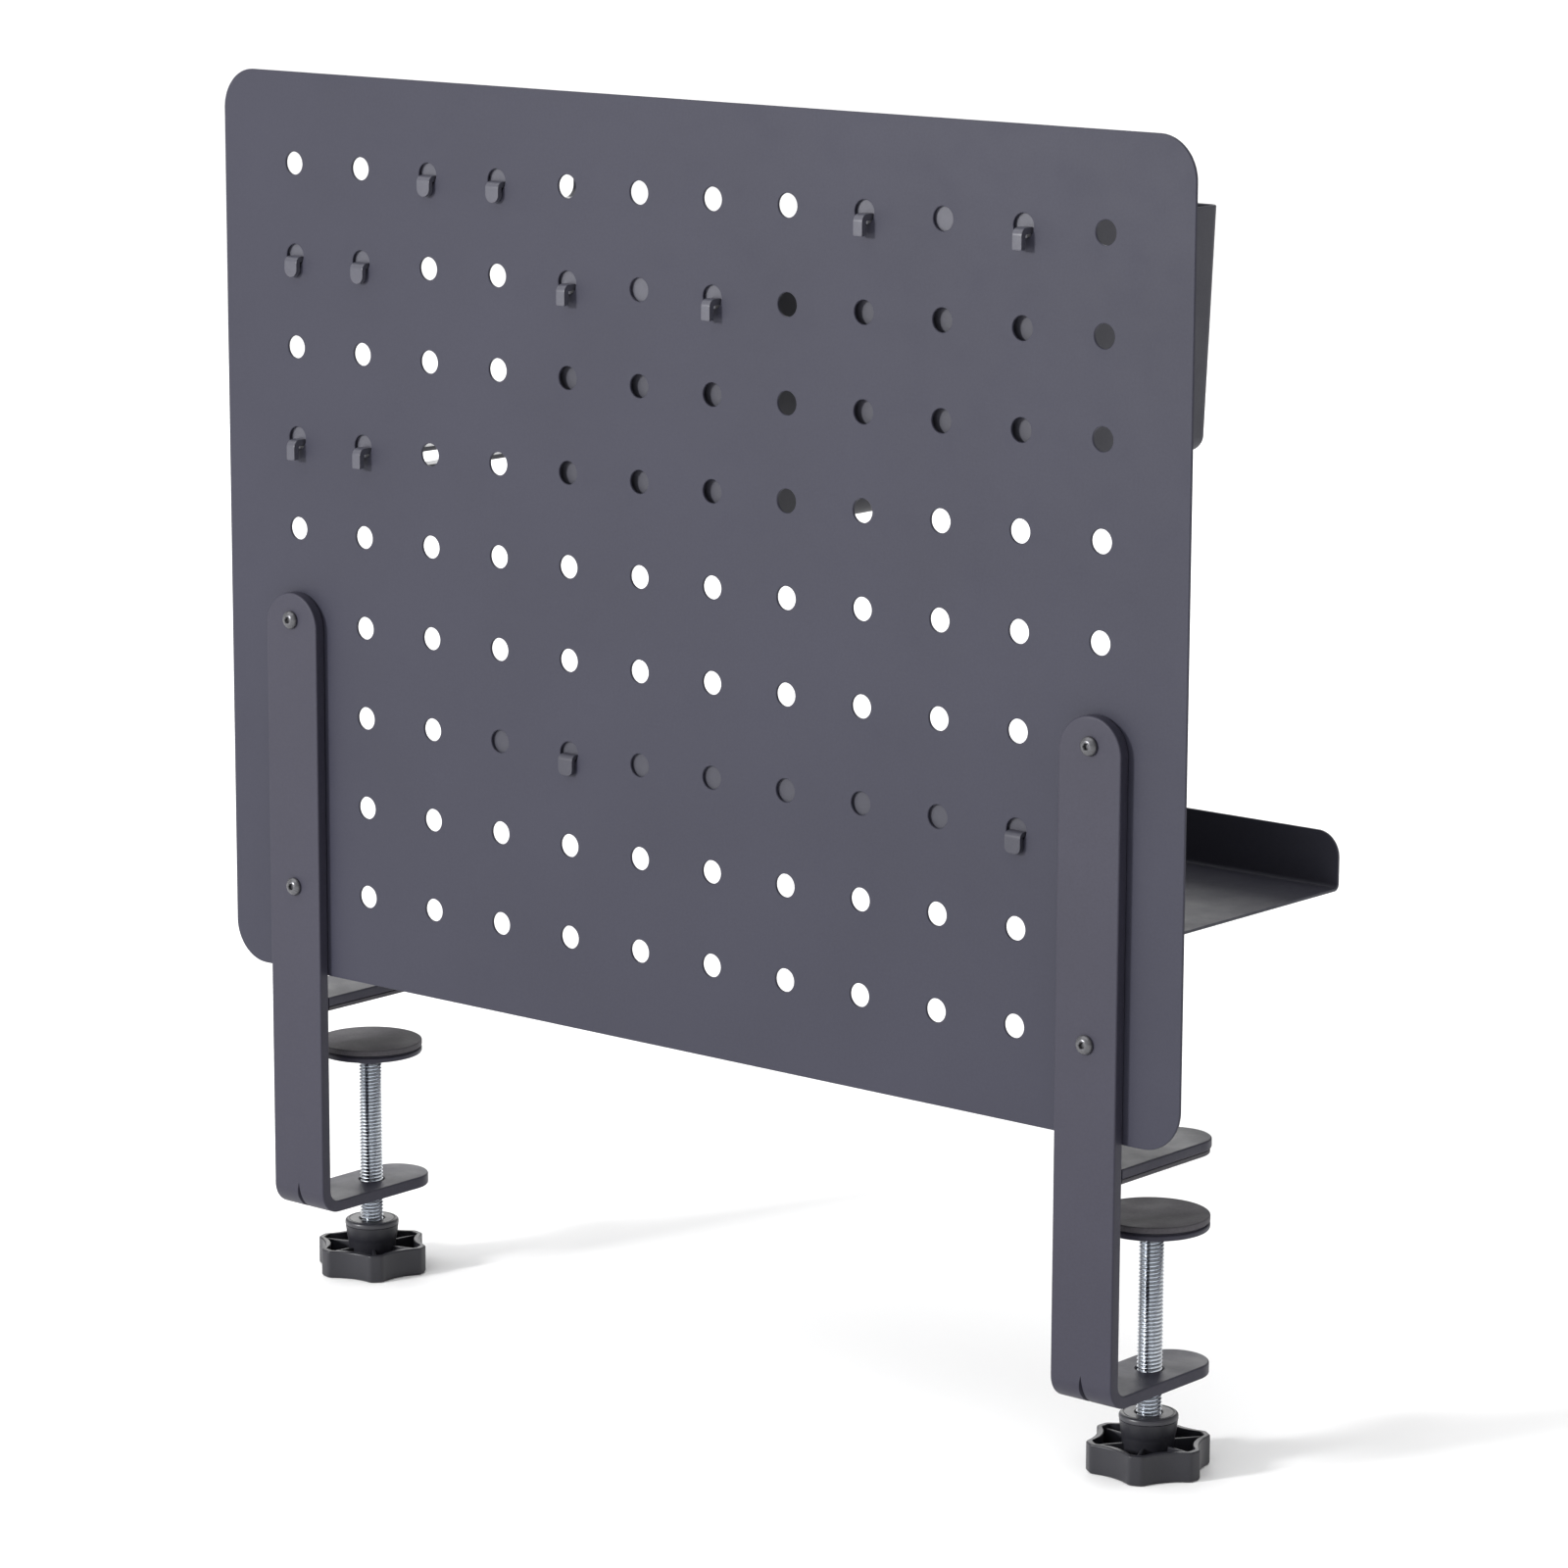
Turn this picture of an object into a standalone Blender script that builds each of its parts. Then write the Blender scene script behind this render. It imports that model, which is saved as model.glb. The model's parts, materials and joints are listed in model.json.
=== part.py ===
"""A clamp-on pegboard for the back edge of a desk, with two pen cups, a shelf tray and three hooks.

The board stands up from the desk on two screw clamps. +X runs along the board, +Y points over the desk
towards the person who sits there, and +Z is up. X = 0 is the middle of the board, Y = 0 is the board's
back face, and Z = 0 is the desk top, where the rubber pads of the upper jaws rest.
"""

import math

import bmesh
import bpy
from mathutils import Vector

MM = 0.001
GAP = 0.3 * MM
MERGE = 0.001 * MM

# Board: a perforated steel sheet
PITCH = 38.1 * MM
COLUMNS = 12
ROWS = 9
HOLE_R = 4.75 * MM
HOLE_STEPS = 12
BOARD_W = 500 * MM
BOARD_H = 380 * MM
BOARD_T = 1.2 * MM
BOARD_CORNER_R = 17 * MM
BOARD_BOTTOM = 15.5 * MM

# Clamps
CLAMP_X = 5.5 * PITCH
BAR_W = 29 * MM
BAR_T = 5 * MM
BAR_EDGE = 0.6 * MM
BAR_TOP = 178.75 * MM
BEND_R = 7.5 * MM
LOWER_JAW_TOP = -84 * MM
LOWER_JAW_REACH = 68 * MM
UPPER_JAW_REACH = 67 * MM
UPPER_JAW_T = 4 * MM
JAW_PAD_T = 2 * MM
DART_UP = 12.5 * MM
DART_DEEP = 4.9 * MM
DART_HALF_W = 3.6 * MM
SCREW_ROWS = (5, 8)

# Screws that hold the bars on the board
SCREW_R = 2 * MM
SCREW_HOLE_R = 2.4 * MM
SCREW_HEAD_R = 3.8 * MM
SCREW_HEAD_H = 2.2 * MM
SOCKET_R = 1.45 * MM
SOCKET_DEEP = 1.3 * MM
NUT_R = 3.9 * MM
NUT_FLANGE_R = 7 * MM
NUT_FLANGE_T = 1.4 * MM
NUT_H = 4.6 * MM

# Clamp rod, ball, pad and knob, along the rod's axis
ROD_Y = 39 * MM
ROD_R = 5 * MM
ROD_HOLE_R = 5.4 * MM
PAD_R = 22.4 * MM
PAD_TOP = -21.6 * MM
PAD_FACING_T = 2.4 * MM
PAD_RIM_BOTTOM = PAD_TOP - 5.5 * MM
PAD_CONE_BOTTOM = PAD_TOP - 9.6 * MM
PAD_CONE_R = 12.5 * MM
BALL_R = 2.5 * MM
BALL_Z = PAD_TOP - 6.1 * MM
BALL_BORE_R = 1.65 * MM
SPIGOT_R = 1.3 * MM
SPIGOT_TOP = PAD_TOP - 4.9 * MM
ROD_TOP = PAD_TOP - 8.9 * MM
KNOB_HUB_TOP = -101.5 * MM
KNOB_HUB_R = 11.6 * MM
KNOB_HUB_FOOT_R = 10 * MM
KNOB_HUB_H = 10.5 * MM
KNOB_SKIRT_H = 12 * MM
KNOB_SKIRT_TOP = KNOB_HUB_TOP - KNOB_HUB_H
KNOB_BOTTOM = KNOB_SKIRT_TOP - KNOB_SKIRT_H
KNOB_FLOOR = KNOB_BOTTOM + 3 * MM
ROD_BOTTOM = KNOB_BOTTOM + 5.5 * MM
KNOB_R = 24.7 * MM
KNOB_WAIST_R = 20.6 * MM
KNOB_SCALLOP_R = 25.5 * MM
KNOB_WALL = 2.6 * MM
KNOB_LOBES = 6
KNOB_STEPS = 72
KNOB_TURNED = {"left": math.radians(18), "right": math.radians(-5)}
RIB_T = 1.5 * MM
RIB_TOP = KNOB_SKIRT_TOP - 1.2 * MM

# Tongues that hang the accessories in the holes
PLATE_T = 1.5 * MM
PLATE_Y = BOARD_T + GAP
TONGUE_T = 1.8 * MM
TONGUE_END = 9.0 * MM
ROUND_TONGUE = {"width": 6.2 * MM, "reach": 4.1 * MM, "end_r": 3.1 * MM}
SQUARE_TONGUE = {"width": 5.0 * MM, "reach": 6.6 * MM, "end_r": 0.5 * MM}
TRAY_TONGUE = {"width": 7.6 * MM, "reach": 4.6 * MM, "end_r": 2.6 * MM}

# Pen cups
CUP_W = 114 * MM
CUP_RIM_Y = 98 * MM
CUP_FOOT_Y = 92 * MM
CUP_RIM = 2 * MM
CUP_H = 94 * MM
CUP_WALL = 1.2 * MM
CUP_CORNER_R = 4 * MM
CUP_FOOT_R = 6 * MM
CUP_HANGER_TOP = 7.6 * MM
CUP_HANGER_H = 34 * MM
CUPS = {"left": (4, 6, 1), "right": (8, 10, 0)}

# Shelf tray
TRAY_W = 360 * MM
TRAY_FRONT_Y = 120 * MM
TRAY_T = 1.2 * MM
TRAY_FLOOR_Z = 95.5 * MM
TRAY_LIP_H = 23 * MM
TRAY_BACK_H = 52 * MM
TRAY_BEND_R = 2.2 * MM
TRAY_LIP_CORNER_R = 10 * MM
TRAY_BACK_CORNER_R = 4 * MM
TRAY_HOLES = (4, 10, 6)

# Hooks
HOOK_W = 8 * MM
HOOK_T = 2 * MM
HOOK_PLATE_SIDE = 6.5 * MM

STEEL = ("painted steel", (0.105, 0.105, 0.125), 0.5, 0.0)
CUP_STEEL = ("painted steel, cups", (0.075, 0.075, 0.09), 0.5, 0.0)
BLACK_SCREW = ("black screw", (0.04, 0.04, 0.045), 0.35, 0.6)
ZINC = ("zinc", (0.62, 0.66, 0.70), 0.25, 1.0)
RUBBER = ("rubber", (0.03, 0.03, 0.033), 0.8, 0.0)
MOULDED = ("moulded plastic", (0.055, 0.055, 0.062), 0.45, 0.0)


def clear_scene():
    for item in list(bpy.data.objects):
        bpy.data.objects.remove(item, do_unlink=True)


def material(name, colour, roughness, metallic):
    found = bpy.data.materials.get(name)
    if found:
        return found
    made = bpy.data.materials.new(name)
    made.use_nodes = True
    shader = made.node_tree.nodes["Principled BSDF"]
    shader.inputs["Base Color"].default_value = (*colour, 1.0)
    shader.inputs["Roughness"].default_value = roughness
    shader.inputs["Metallic"].default_value = metallic
    return made


def hole_centre(column, row):
    """X and Z of a hole in the board, counted from the top left as seen from behind."""
    x = (column - (COLUMNS - 1) / 2) * PITCH
    z = BOARD_BOTTOM + BOARD_H / 2 + ((ROWS - 1) / 2 - row) * PITCH
    return x, z


def add_object(name, bm, finish, origin=(0, 0, 0)):
    """Turns a bmesh in world coordinates into an object whose origin is at the given point."""
    bmesh.ops.remove_doubles(bm, verts=bm.verts, dist=MERGE)
    bmesh.ops.recalc_face_normals(bm, faces=bm.faces)
    bmesh.ops.translate(bm, verts=bm.verts, vec=-Vector(origin))
    mesh = bpy.data.meshes.new(name)
    bm.to_mesh(mesh)
    bm.free()
    mesh.materials.append(material(*finish))
    mesh.shade_smooth()
    mesh.set_sharp_from_angle(angle=math.radians(30))
    made = bpy.data.objects.new(name, mesh)
    made.location = origin
    bpy.context.scene.collection.objects.link(made)
    return made


def combine(target, bm, operation):
    """Cuts or adds a bmesh through a Boolean modifier and leaves the operand hidden."""
    operand = add_object(f"{target.name}_operand_{len(target.modifiers)}", bm, STEEL)
    operand.hide_render = True
    operand.display_type = "WIRE"
    step = target.modifiers.new(operation.title(), "BOOLEAN")
    step.operation = operation
    step.solver = "EXACT"
    step.object = operand


def ring_of(bm, points):
    return [bm.verts.new(point) for point in points]


def bridge(bm, first, second):
    """Quads between two closed rings with the same number of points."""
    for i in range(len(first)):
        j = (i + 1) % len(first)
        bm.faces.new((first[i], first[j], second[j], second[i]))


def lofted(loops):
    """A solid whose surface runs through the loops in turn, with both ends capped."""
    bm = bmesh.new()
    rings = [ring_of(bm, loop) for loop in loops]
    for first, second in zip(rings, rings[1:]):
        bridge(bm, first, second)
    bm.faces.new(rings[0])
    bm.faces.new(rings[-1])
    return bm


def turned(profile, x, y, steps, closed=False):
    """A profile of (radius, z) points spun about the vertical axis through (x, y)."""
    bm = bmesh.new()
    points = ring_of(bm, [(x + r, y, z) for r, z in profile])
    pairs = list(zip(points, points[1:]))
    if closed:
        pairs.append((points[-1], points[0]))
    edges = [bm.edges.new(pair) for pair in pairs]
    bmesh.ops.spin(bm, geom=points + edges, cent=(x, y, 0), axis=(0, 0, 1),
                   angle=math.tau, steps=steps, use_merge=True)
    return bm


def turned_along_y(profile, x, z, steps, closed=False):
    """A profile of (radius, y) points spun about the axis along Y through (x, z)."""
    bm = turned(profile, 0, 0, steps, closed)
    for vert in bm.verts:
        across, up, forward = vert.co
        vert.co = (x + across, forward, z + up)
    return bm


def rounded_rectangle(a0, a1, b0, b1, radius, steps):
    """Points (a, b) around a rectangle with round corners."""
    corners = ((a1, b1, 0), (a0, b1, 1), (a0, b0, 2), (a1, b0, 3))
    points = []
    for a, b, quarter in corners:
        centre_a = a - radius if a == a1 else a + radius
        centre_b = b - radius if b == b1 else b + radius
        for k in range(steps + 1):
            angle = (quarter + k / steps) * math.pi / 2
            points.append((centre_a + radius * math.cos(angle), centre_b + radius * math.sin(angle)))
    return points


def circle(a, b, radius, steps):
    """Points (a, b) around a circle, with a flat facet at the bottom."""
    angles = [(k + 0.5) / steps * math.tau for k in range(steps)]
    return [(a + radius * math.cos(angle), b + radius * math.sin(angle)) for angle in angles]


def sheet(outline, holes, y, thickness):
    """A flat sheet in the XZ plane, with holes, from y to y + thickness."""
    bm = bmesh.new()
    edges = []
    for loop in (outline, *holes):
        ring = ring_of(bm, [(x, y, z) for x, z in loop])
        edges += [bm.edges.new(pair) for pair in zip(ring, ring[1:] + ring[:1])]
    bmesh.ops.triangle_fill(bm, use_beauty=True, use_dissolve=False, edges=edges)
    grown = bmesh.ops.extrude_face_region(bm, geom=bm.faces[:])
    far_side = [item for item in grown["geom"] if isinstance(item, bmesh.types.BMVert)]
    bmesh.ops.translate(bm, verts=far_side, vec=(0, thickness, 0))
    return bm


def path_in_yz(start, heading, moves):
    """The stretches of a path that starts at (y, z) and heads at an angle from +Y towards +Z.

    A move is ("run", length) or ("turn", radius, angle). A stretch is (length, y, z, heading, curvature).
    """
    y, z = start
    stretches = []
    for kind, size, *turn in moves:
        if kind == "run":
            stretches.append((size, y, z, heading, 0.0))
            y += size * math.cos(heading)
            z += size * math.sin(heading)
        else:
            curvature = math.copysign(1 / size, turn[0])
            stretches.append((size * abs(turn[0]), y, z, heading, curvature))
            y += (math.sin(heading + turn[0]) - math.sin(heading)) / curvature
            z -= (math.cos(heading + turn[0]) - math.cos(heading)) / curvature
            heading += turn[0]
    return stretches


def along(stretches, distance):
    """Position (y, z) and heading at a distance along a path."""
    for index, (length, y, z, heading, curvature) in enumerate(stretches):
        if distance <= length or index == len(stretches) - 1:
            break
        distance -= length
    if curvature == 0:
        return y + distance * math.cos(heading), z + distance * math.sin(heading), heading
    turned_to = heading + distance * curvature
    y += (math.sin(turned_to) - math.sin(heading)) / curvature
    z -= (math.cos(turned_to) - math.cos(heading)) / curvature
    return y, z, turned_to


def strip(x, width, thickness, stretches, start_r=0.0, end_r=0.0, edge=0.0, bend_steps=6, end_steps=6):
    """A bar or sheet of constant width whose middle plane follows a path in the YZ plane.

    start_r and end_r round the corners of its two ends, and edge chamfers its long edges.
    """
    total = sum(stretch[0] for stretch in stretches)
    half = width / 2
    # A station is distance, its change with the edge's inset, half width, and that one's change
    stations = []
    quarter = [k / end_steps * math.pi / 2 for k in range(end_steps + 1)]
    if start_r:
        for angle in quarter:
            stations.append((start_r * (1 - math.cos(angle)), math.cos(angle),
                             half - start_r + start_r * math.sin(angle), -math.sin(angle)))
    else:
        stations.append((0.0, 0.0, half, -1.0))
    reached = 0.0
    for length, _, _, _, curvature in stretches:
        marks = [reached + length * k / bend_steps for k in range(bend_steps + 1)] if curvature else []
        for mark in marks:
            if start_r < mark < total - end_r:
                stations.append((mark, 0.0, half, -1.0))
        reached += length
    if end_r:
        for angle in reversed(quarter):
            stations.append((total - end_r * (1 - math.cos(angle)), -math.cos(angle),
                             half - end_r + end_r * math.sin(angle), -math.sin(angle)))
    else:
        stations.append((total, 0.0, half, -1.0))
    depth = thickness / 2
    levels = [(-depth, edge), (-depth + edge, 0.0), (depth - edge, 0.0), (depth, edge)]
    if edge == 0:
        levels = [(-depth, 0.0), (depth, 0.0)]
    bm = bmesh.new()
    rings = []
    for distance, distance_in, half_width, half_width_in in stations:
        sides = []
        for lift, inset in levels:
            y, z, heading = along(stretches, distance + distance_in * inset)
            y -= lift * math.sin(heading)
            z += lift * math.cos(heading)
            sides.append((half_width + half_width_in * inset, y, z))
        left = ring_of(bm, [(x - w, y, z) for w, y, z in sides])
        right = ring_of(bm, [(x + w, y, z) for w, y, z in reversed(sides)])
        rings.append(left + right)
    for first, second in zip(rings, rings[1:]):
        bridge(bm, first, second)
    for ring in (rings[0], rings[-1]):
        for i in range(len(levels) - 1):
            bm.faces.new((ring[i], ring[i + 1], ring[-i - 2], ring[-i - 1]))
    return bm


def peg_panel():
    outline = rounded_rectangle(-BOARD_W / 2, BOARD_W / 2, BOARD_BOTTOM, BOARD_BOTTOM + BOARD_H,
                                BOARD_CORNER_R, 8)
    holes = [circle(*hole_centre(column, row), HOLE_R, HOLE_STEPS)
             for row in range(ROWS) for column in range(COLUMNS)]
    add_object("peg_panel", sheet(outline, holes, 0.0, BOARD_T), STEEL)


def dart(x):
    """The wedge pressed into the outside of a bar's bend, as a solid to cut away."""
    corner_y = -GAP - BAR_T
    corner_z = LOWER_JAW_TOP - BAR_T
    outside = 2 * MM
    up = (x, corner_y - 0.1 * MM, corner_z + DART_UP)
    out = (x, corner_y + DART_UP, corner_z - 0.1 * MM)
    middle = (x, corner_y + DART_DEEP, corner_z + DART_DEEP)
    left = (x - DART_HALF_W, corner_y - outside, corner_z - outside)
    right = (x + DART_HALF_W, corner_y - outside, corner_z - outside)
    bm = bmesh.new()
    a, b, m, p, q = ring_of(bm, [up, out, middle, left, right])
    for face in ((a, m, p), (a, q, m), (a, p, q), (b, p, m), (b, m, q), (b, q, p)):
        bm.faces.new(face)
    return bm


def clamp_bracket(side, x):
    """Flat bar behind the board, bent forward at the bottom into the lower jaw."""
    middle_y = -GAP - BAR_T / 2
    middle_z = LOWER_JAW_TOP - BAR_T / 2
    drop = BAR_TOP - (middle_z + BEND_R)
    jaw = LOWER_JAW_REACH - (middle_y + BEND_R)
    stretches = path_in_yz((middle_y, BAR_TOP), -math.pi / 2,
                           [("run", drop), ("turn", BEND_R, math.pi / 2), ("run", jaw)])
    bar = add_object(f"clamp_bracket_{side}",
                     strip(x, BAR_W, BAR_T, stretches, BAR_W / 2, BAR_W / 2, BAR_EDGE), STEEL)
    for row in SCREW_ROWS:
        z = hole_centre(0, row)[1]
        bore = [(0, -10 * MM), (SCREW_HOLE_R, -10 * MM), (SCREW_HOLE_R, 5 * MM), (0, 5 * MM)]
        combine(bar, turned_along_y(bore, x, z, 12), "DIFFERENCE")
    above = LOWER_JAW_TOP + BAR_T
    below = LOWER_JAW_TOP - 2 * BAR_T
    bore = [(0, below), (ROD_HOLE_R, below), (ROD_HOLE_R, above), (0, above)]
    combine(bar, turned(bore, x, ROD_Y, 16), "DIFFERENCE")
    combine(bar, dart(x), "DIFFERENCE")


def upper_jaw(side, x):
    """Short plate that stands out from the bar over the desk, with a rubber pad under it."""
    plate_z = JAW_PAD_T + UPPER_JAW_T / 2
    path = path_in_yz((0.0, plate_z), 0.0, [("run", UPPER_JAW_REACH)])
    add_object(f"upper_jaw_{side}",
               strip(x, BAR_W, UPPER_JAW_T, path, 0.0, BAR_W / 2, BAR_EDGE), STEEL)
    pad_t = JAW_PAD_T - GAP
    path = path_in_yz((0.6 * MM, pad_t / 2), 0.0, [("run", UPPER_JAW_REACH - 1.2 * MM)])
    pad_w = BAR_W - 1.2 * MM
    add_object(f"jaw_pad_{side}", strip(x, pad_w, pad_t, path, 0.0, pad_w / 2), RUBBER)


def bracket_screw(side, place, x, row):
    """Button-head socket screw through the bar and a hole of the board."""
    z = hole_centre(0, row)[1]
    seat = -GAP - BAR_T - GAP
    tip = BOARD_T + GAP + NUT_H - 0.4 * MM
    profile = [(0, tip), (SCREW_R, tip), (SCREW_R, seat), (SCREW_HEAD_R, seat),
               (SCREW_HEAD_R, seat - 0.4 * MM), (0.85 * SCREW_HEAD_R, seat - 1.4 * MM),
               (0.5 * SCREW_HEAD_R, seat - SCREW_HEAD_H), (0, seat - SCREW_HEAD_H)]
    screw = add_object(f"bracket_screw_{side}_{place}", turned_along_y(profile, x, z, 16), BLACK_SCREW)
    floor = seat - SCREW_HEAD_H + SOCKET_DEEP
    socket = [(0, floor), (SOCKET_R, floor), (SOCKET_R, seat - 4 * MM), (0, seat - 4 * MM)]
    combine(screw, turned_along_y(socket, x, z, 6), "DIFFERENCE")


def bracket_nut(side, place, x, row):
    """Flange nut that clamps the board to the bar, on the board's front."""
    z = hole_centre(0, row)[1]
    near = BOARD_T + GAP
    bore = SCREW_R + GAP
    flange = [(bore, near), (NUT_FLANGE_R, near), (NUT_FLANGE_R, near + 0.5 * NUT_FLANGE_T),
              (NUT_R, near + NUT_FLANGE_T), (NUT_R, near + NUT_H), (bore, near + NUT_H)]
    add_object(f"bracket_nut_{side}_{place}", turned_along_y(flange, x, z, 12, closed=True), BLACK_SCREW)


def pad_ball(side, x):
    """Ball on the rod's tip, which lets the pad tilt and the rod turn under it."""
    cap = math.asin(BALL_BORE_R / BALL_R)
    angles = [math.pi / 2 - (math.pi - cap) * k / 8 for k in range(9)]
    profile = [(BALL_R * math.cos(a), BALL_Z + BALL_R * math.sin(a)) for a in angles]
    profile += [(BALL_BORE_R, SPIGOT_TOP + GAP), (0, SPIGOT_TOP + GAP)]
    add_object(f"pad_ball_{side}", turned(profile, x, ROD_Y, 16), ZINC, (x, ROD_Y, BALL_Z))


def pressure_pad(side, x):
    """Round steel pad that seats on the ball, with a soft facing that presses under the desk."""
    facing_bottom = PAD_TOP - PAD_FACING_T
    pivot = (x, ROD_Y, BALL_Z)
    facing = [(0, PAD_TOP), (PAD_R - 0.5 * MM, PAD_TOP), (PAD_R, PAD_TOP - 0.5 * MM),
              (PAD_R, facing_bottom + 0.3 * MM), (PAD_R - 0.3 * MM, facing_bottom), (0, facing_bottom)]
    add_object(f"pad_facing_{side}", turned(facing, x, ROD_Y, 32), RUBBER, pivot)
    disc_top = facing_bottom - GAP
    socket_r = BALL_R + 0.5 * MM
    disc = [(0, disc_top), (PAD_R - 0.6 * MM, disc_top), (PAD_R, disc_top - 0.6 * MM),
            (PAD_R, PAD_RIM_BOTTOM + 0.5 * MM), (PAD_R - 0.8 * MM, PAD_RIM_BOTTOM),
            (0.84 * PAD_R, PAD_RIM_BOTTOM), (PAD_CONE_R, PAD_RIM_BOTTOM - 1.2 * MM),
            (ROD_R + 2.2 * MM, PAD_CONE_BOTTOM), (ROD_R + 1 * MM, PAD_CONE_BOTTOM),
            (ROD_R + 0.7 * MM, PAD_CONE_BOTTOM + 1.1 * MM), (socket_r, PAD_CONE_BOTTOM + 1.9 * MM),
            (socket_r, disc_top - 0.6 * MM), (0, disc_top - 0.6 * MM)]
    add_object(f"pad_disc_{side}", turned(disc, x, ROD_Y, 32), STEEL, pivot)


def clamp_rod(side, x):
    """Threaded rod, drawn at the thread's outer diameter, with a spigot for the ball."""
    profile = [(0, SPIGOT_TOP), (SPIGOT_R, SPIGOT_TOP), (SPIGOT_R, ROD_TOP), (ROD_R - 0.8 * MM, ROD_TOP),
               (ROD_R, ROD_TOP - 0.8 * MM), (ROD_R, ROD_BOTTOM), (0, ROD_BOTTOM)]
    add_object(f"clamp_rod_{side}", turned(profile, x, ROD_Y, 20), ZINC, (x, ROD_Y, BALL_Z))


def knob_radius(angle):
    """A disc with six shallow scallops between its lobes."""
    sector = math.tau / KNOB_LOBES
    off = (angle % sector) - sector / 2
    centre = KNOB_WAIST_R + KNOB_SCALLOP_R
    reach = KNOB_SCALLOP_R ** 2 - (centre * math.sin(off)) ** 2
    scallop = centre * math.cos(off) - math.sqrt(reach) if reach > 0 else KNOB_R
    return min(KNOB_R, scallop)


def knob_loop(x, turned_by, z, inset=0.0, radius=None):
    """A loop around the rod's axis: the knob's lobed outline less an inset, or a circle."""
    points = []
    for k in range(KNOB_STEPS):
        angle = k / KNOB_STEPS * math.tau + turned_by
        r = knob_radius(angle - turned_by) - inset if radius is None else radius
        points.append((x + r * math.cos(angle), ROD_Y + r * math.sin(angle), z))
    return points


def clamp_knob(side, x):
    """Lobed knob, hollow on top around its hub, with a rib from the hub to each lobe."""
    bore = ROD_R + GAP
    edge = 0.8 * MM
    chamfer = 1.2 * MM
    lobed = [(KNOB_BOTTOM, edge), (KNOB_BOTTOM + edge, 0.0), (KNOB_SKIRT_TOP - edge, 0.0),
             (KNOB_SKIRT_TOP, edge), (KNOB_SKIRT_TOP, KNOB_WALL), (KNOB_FLOOR, KNOB_WALL)]
    round_ones = [(KNOB_FLOOR, KNOB_HUB_FOOT_R), (KNOB_HUB_TOP - 2 * chamfer, KNOB_HUB_R),
                  (KNOB_HUB_TOP - chamfer, KNOB_HUB_R), (KNOB_HUB_TOP, KNOB_HUB_R - chamfer),
                  (KNOB_HUB_TOP, bore), (ROD_BOTTOM - GAP, bore)]
    turned_by = KNOB_TURNED[side]
    loops = [knob_loop(x, turned_by, z, inset) for z, inset in lobed]
    loops += [knob_loop(x, turned_by, z, radius=radius) for z, radius in round_ones]
    knob = add_object(f"clamp_knob_{side}", lofted(loops), MOULDED, (x, ROD_Y, BALL_Z))
    ribs = bmesh.new()
    for k in range(KNOB_LOBES):
        angle = k * math.tau / KNOB_LOBES + turned_by
        out = Vector((math.cos(angle), math.sin(angle), 0))
        aside = Vector((-out.y, out.x, 0)) * RIB_T / 2
        axis = Vector((x, ROD_Y, 0))
        near = axis + out * (KNOB_HUB_FOOT_R - 1.5 * MM)
        far = axis + out * (KNOB_R - KNOB_WALL / 2)
        low = Vector((0, 0, KNOB_FLOOR - 1 * MM))
        high = Vector((0, 0, RIB_TOP))
        foot = ring_of(ribs, [p + low for p in (near - aside, far - aside, far + aside, near + aside)])
        head = ring_of(ribs, [p + high for p in (near - aside, far - aside, far + aside, near + aside)])
        bridge(ribs, foot, head)
        ribs.faces.new(foot)
        ribs.faces.new(head)
    combine(knob, ribs, "UNION")


def tongue(column, row, shape, plate_t=PLATE_T):
    """Bent tab that passes back through a hole of the board and hooks down behind it."""
    x, z = hole_centre(column, row)
    half_chord = shape["width"] / 2
    flat_r = HOLE_R * math.cos(math.pi / HOLE_STEPS)
    under = -math.sqrt(flat_r ** 2 - half_chord ** 2) + GAP
    middle_z = z + under + TONGUE_T / 2
    middle_y = -shape["reach"] + TONGUE_T / 2
    bend_r = TONGUE_T / 2 + 0.4 * MM
    start_y = PLATE_Y + plate_t / 2
    moves = [("run", start_y - middle_y - bend_r), ("turn", bend_r, math.pi / 2),
             ("run", middle_z - bend_r - (z - TONGUE_END))]
    path = path_in_yz((start_y, middle_z), math.pi, moves)
    return strip(x, shape["width"], TONGUE_T, path, 0.0, shape["end_r"], 0.0, 4, 4)


def hanging_plate(name, x0, x1, z0, z1, corner_r, finish, columns, row, shape):
    """Flat plate against the board's front face, with a tongue at each of two columns."""
    outline = rounded_rectangle(x0, x1, z0, z1, corner_r, 3)
    plate = add_object(name, sheet(outline, [], PLATE_Y, PLATE_T), finish)
    for column in columns:
        combine(plate, tongue(column, row, shape), "UNION")
    return plate


def cup_loop(x, z, inset):
    """A level loop around the cup, whose front wall leans out towards the rim."""
    back = PLATE_Y + PLATE_T + GAP
    share = (z - CUP_RIM) / CUP_H
    front = CUP_RIM_Y + (CUP_RIM_Y - CUP_FOOT_Y) * share
    radius = max(CUP_CORNER_R - inset, 1 * MM)
    half = CUP_W / 2 - inset
    points = rounded_rectangle(x - half, x + half, back + inset, front - inset, radius, 3)
    return points


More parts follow.
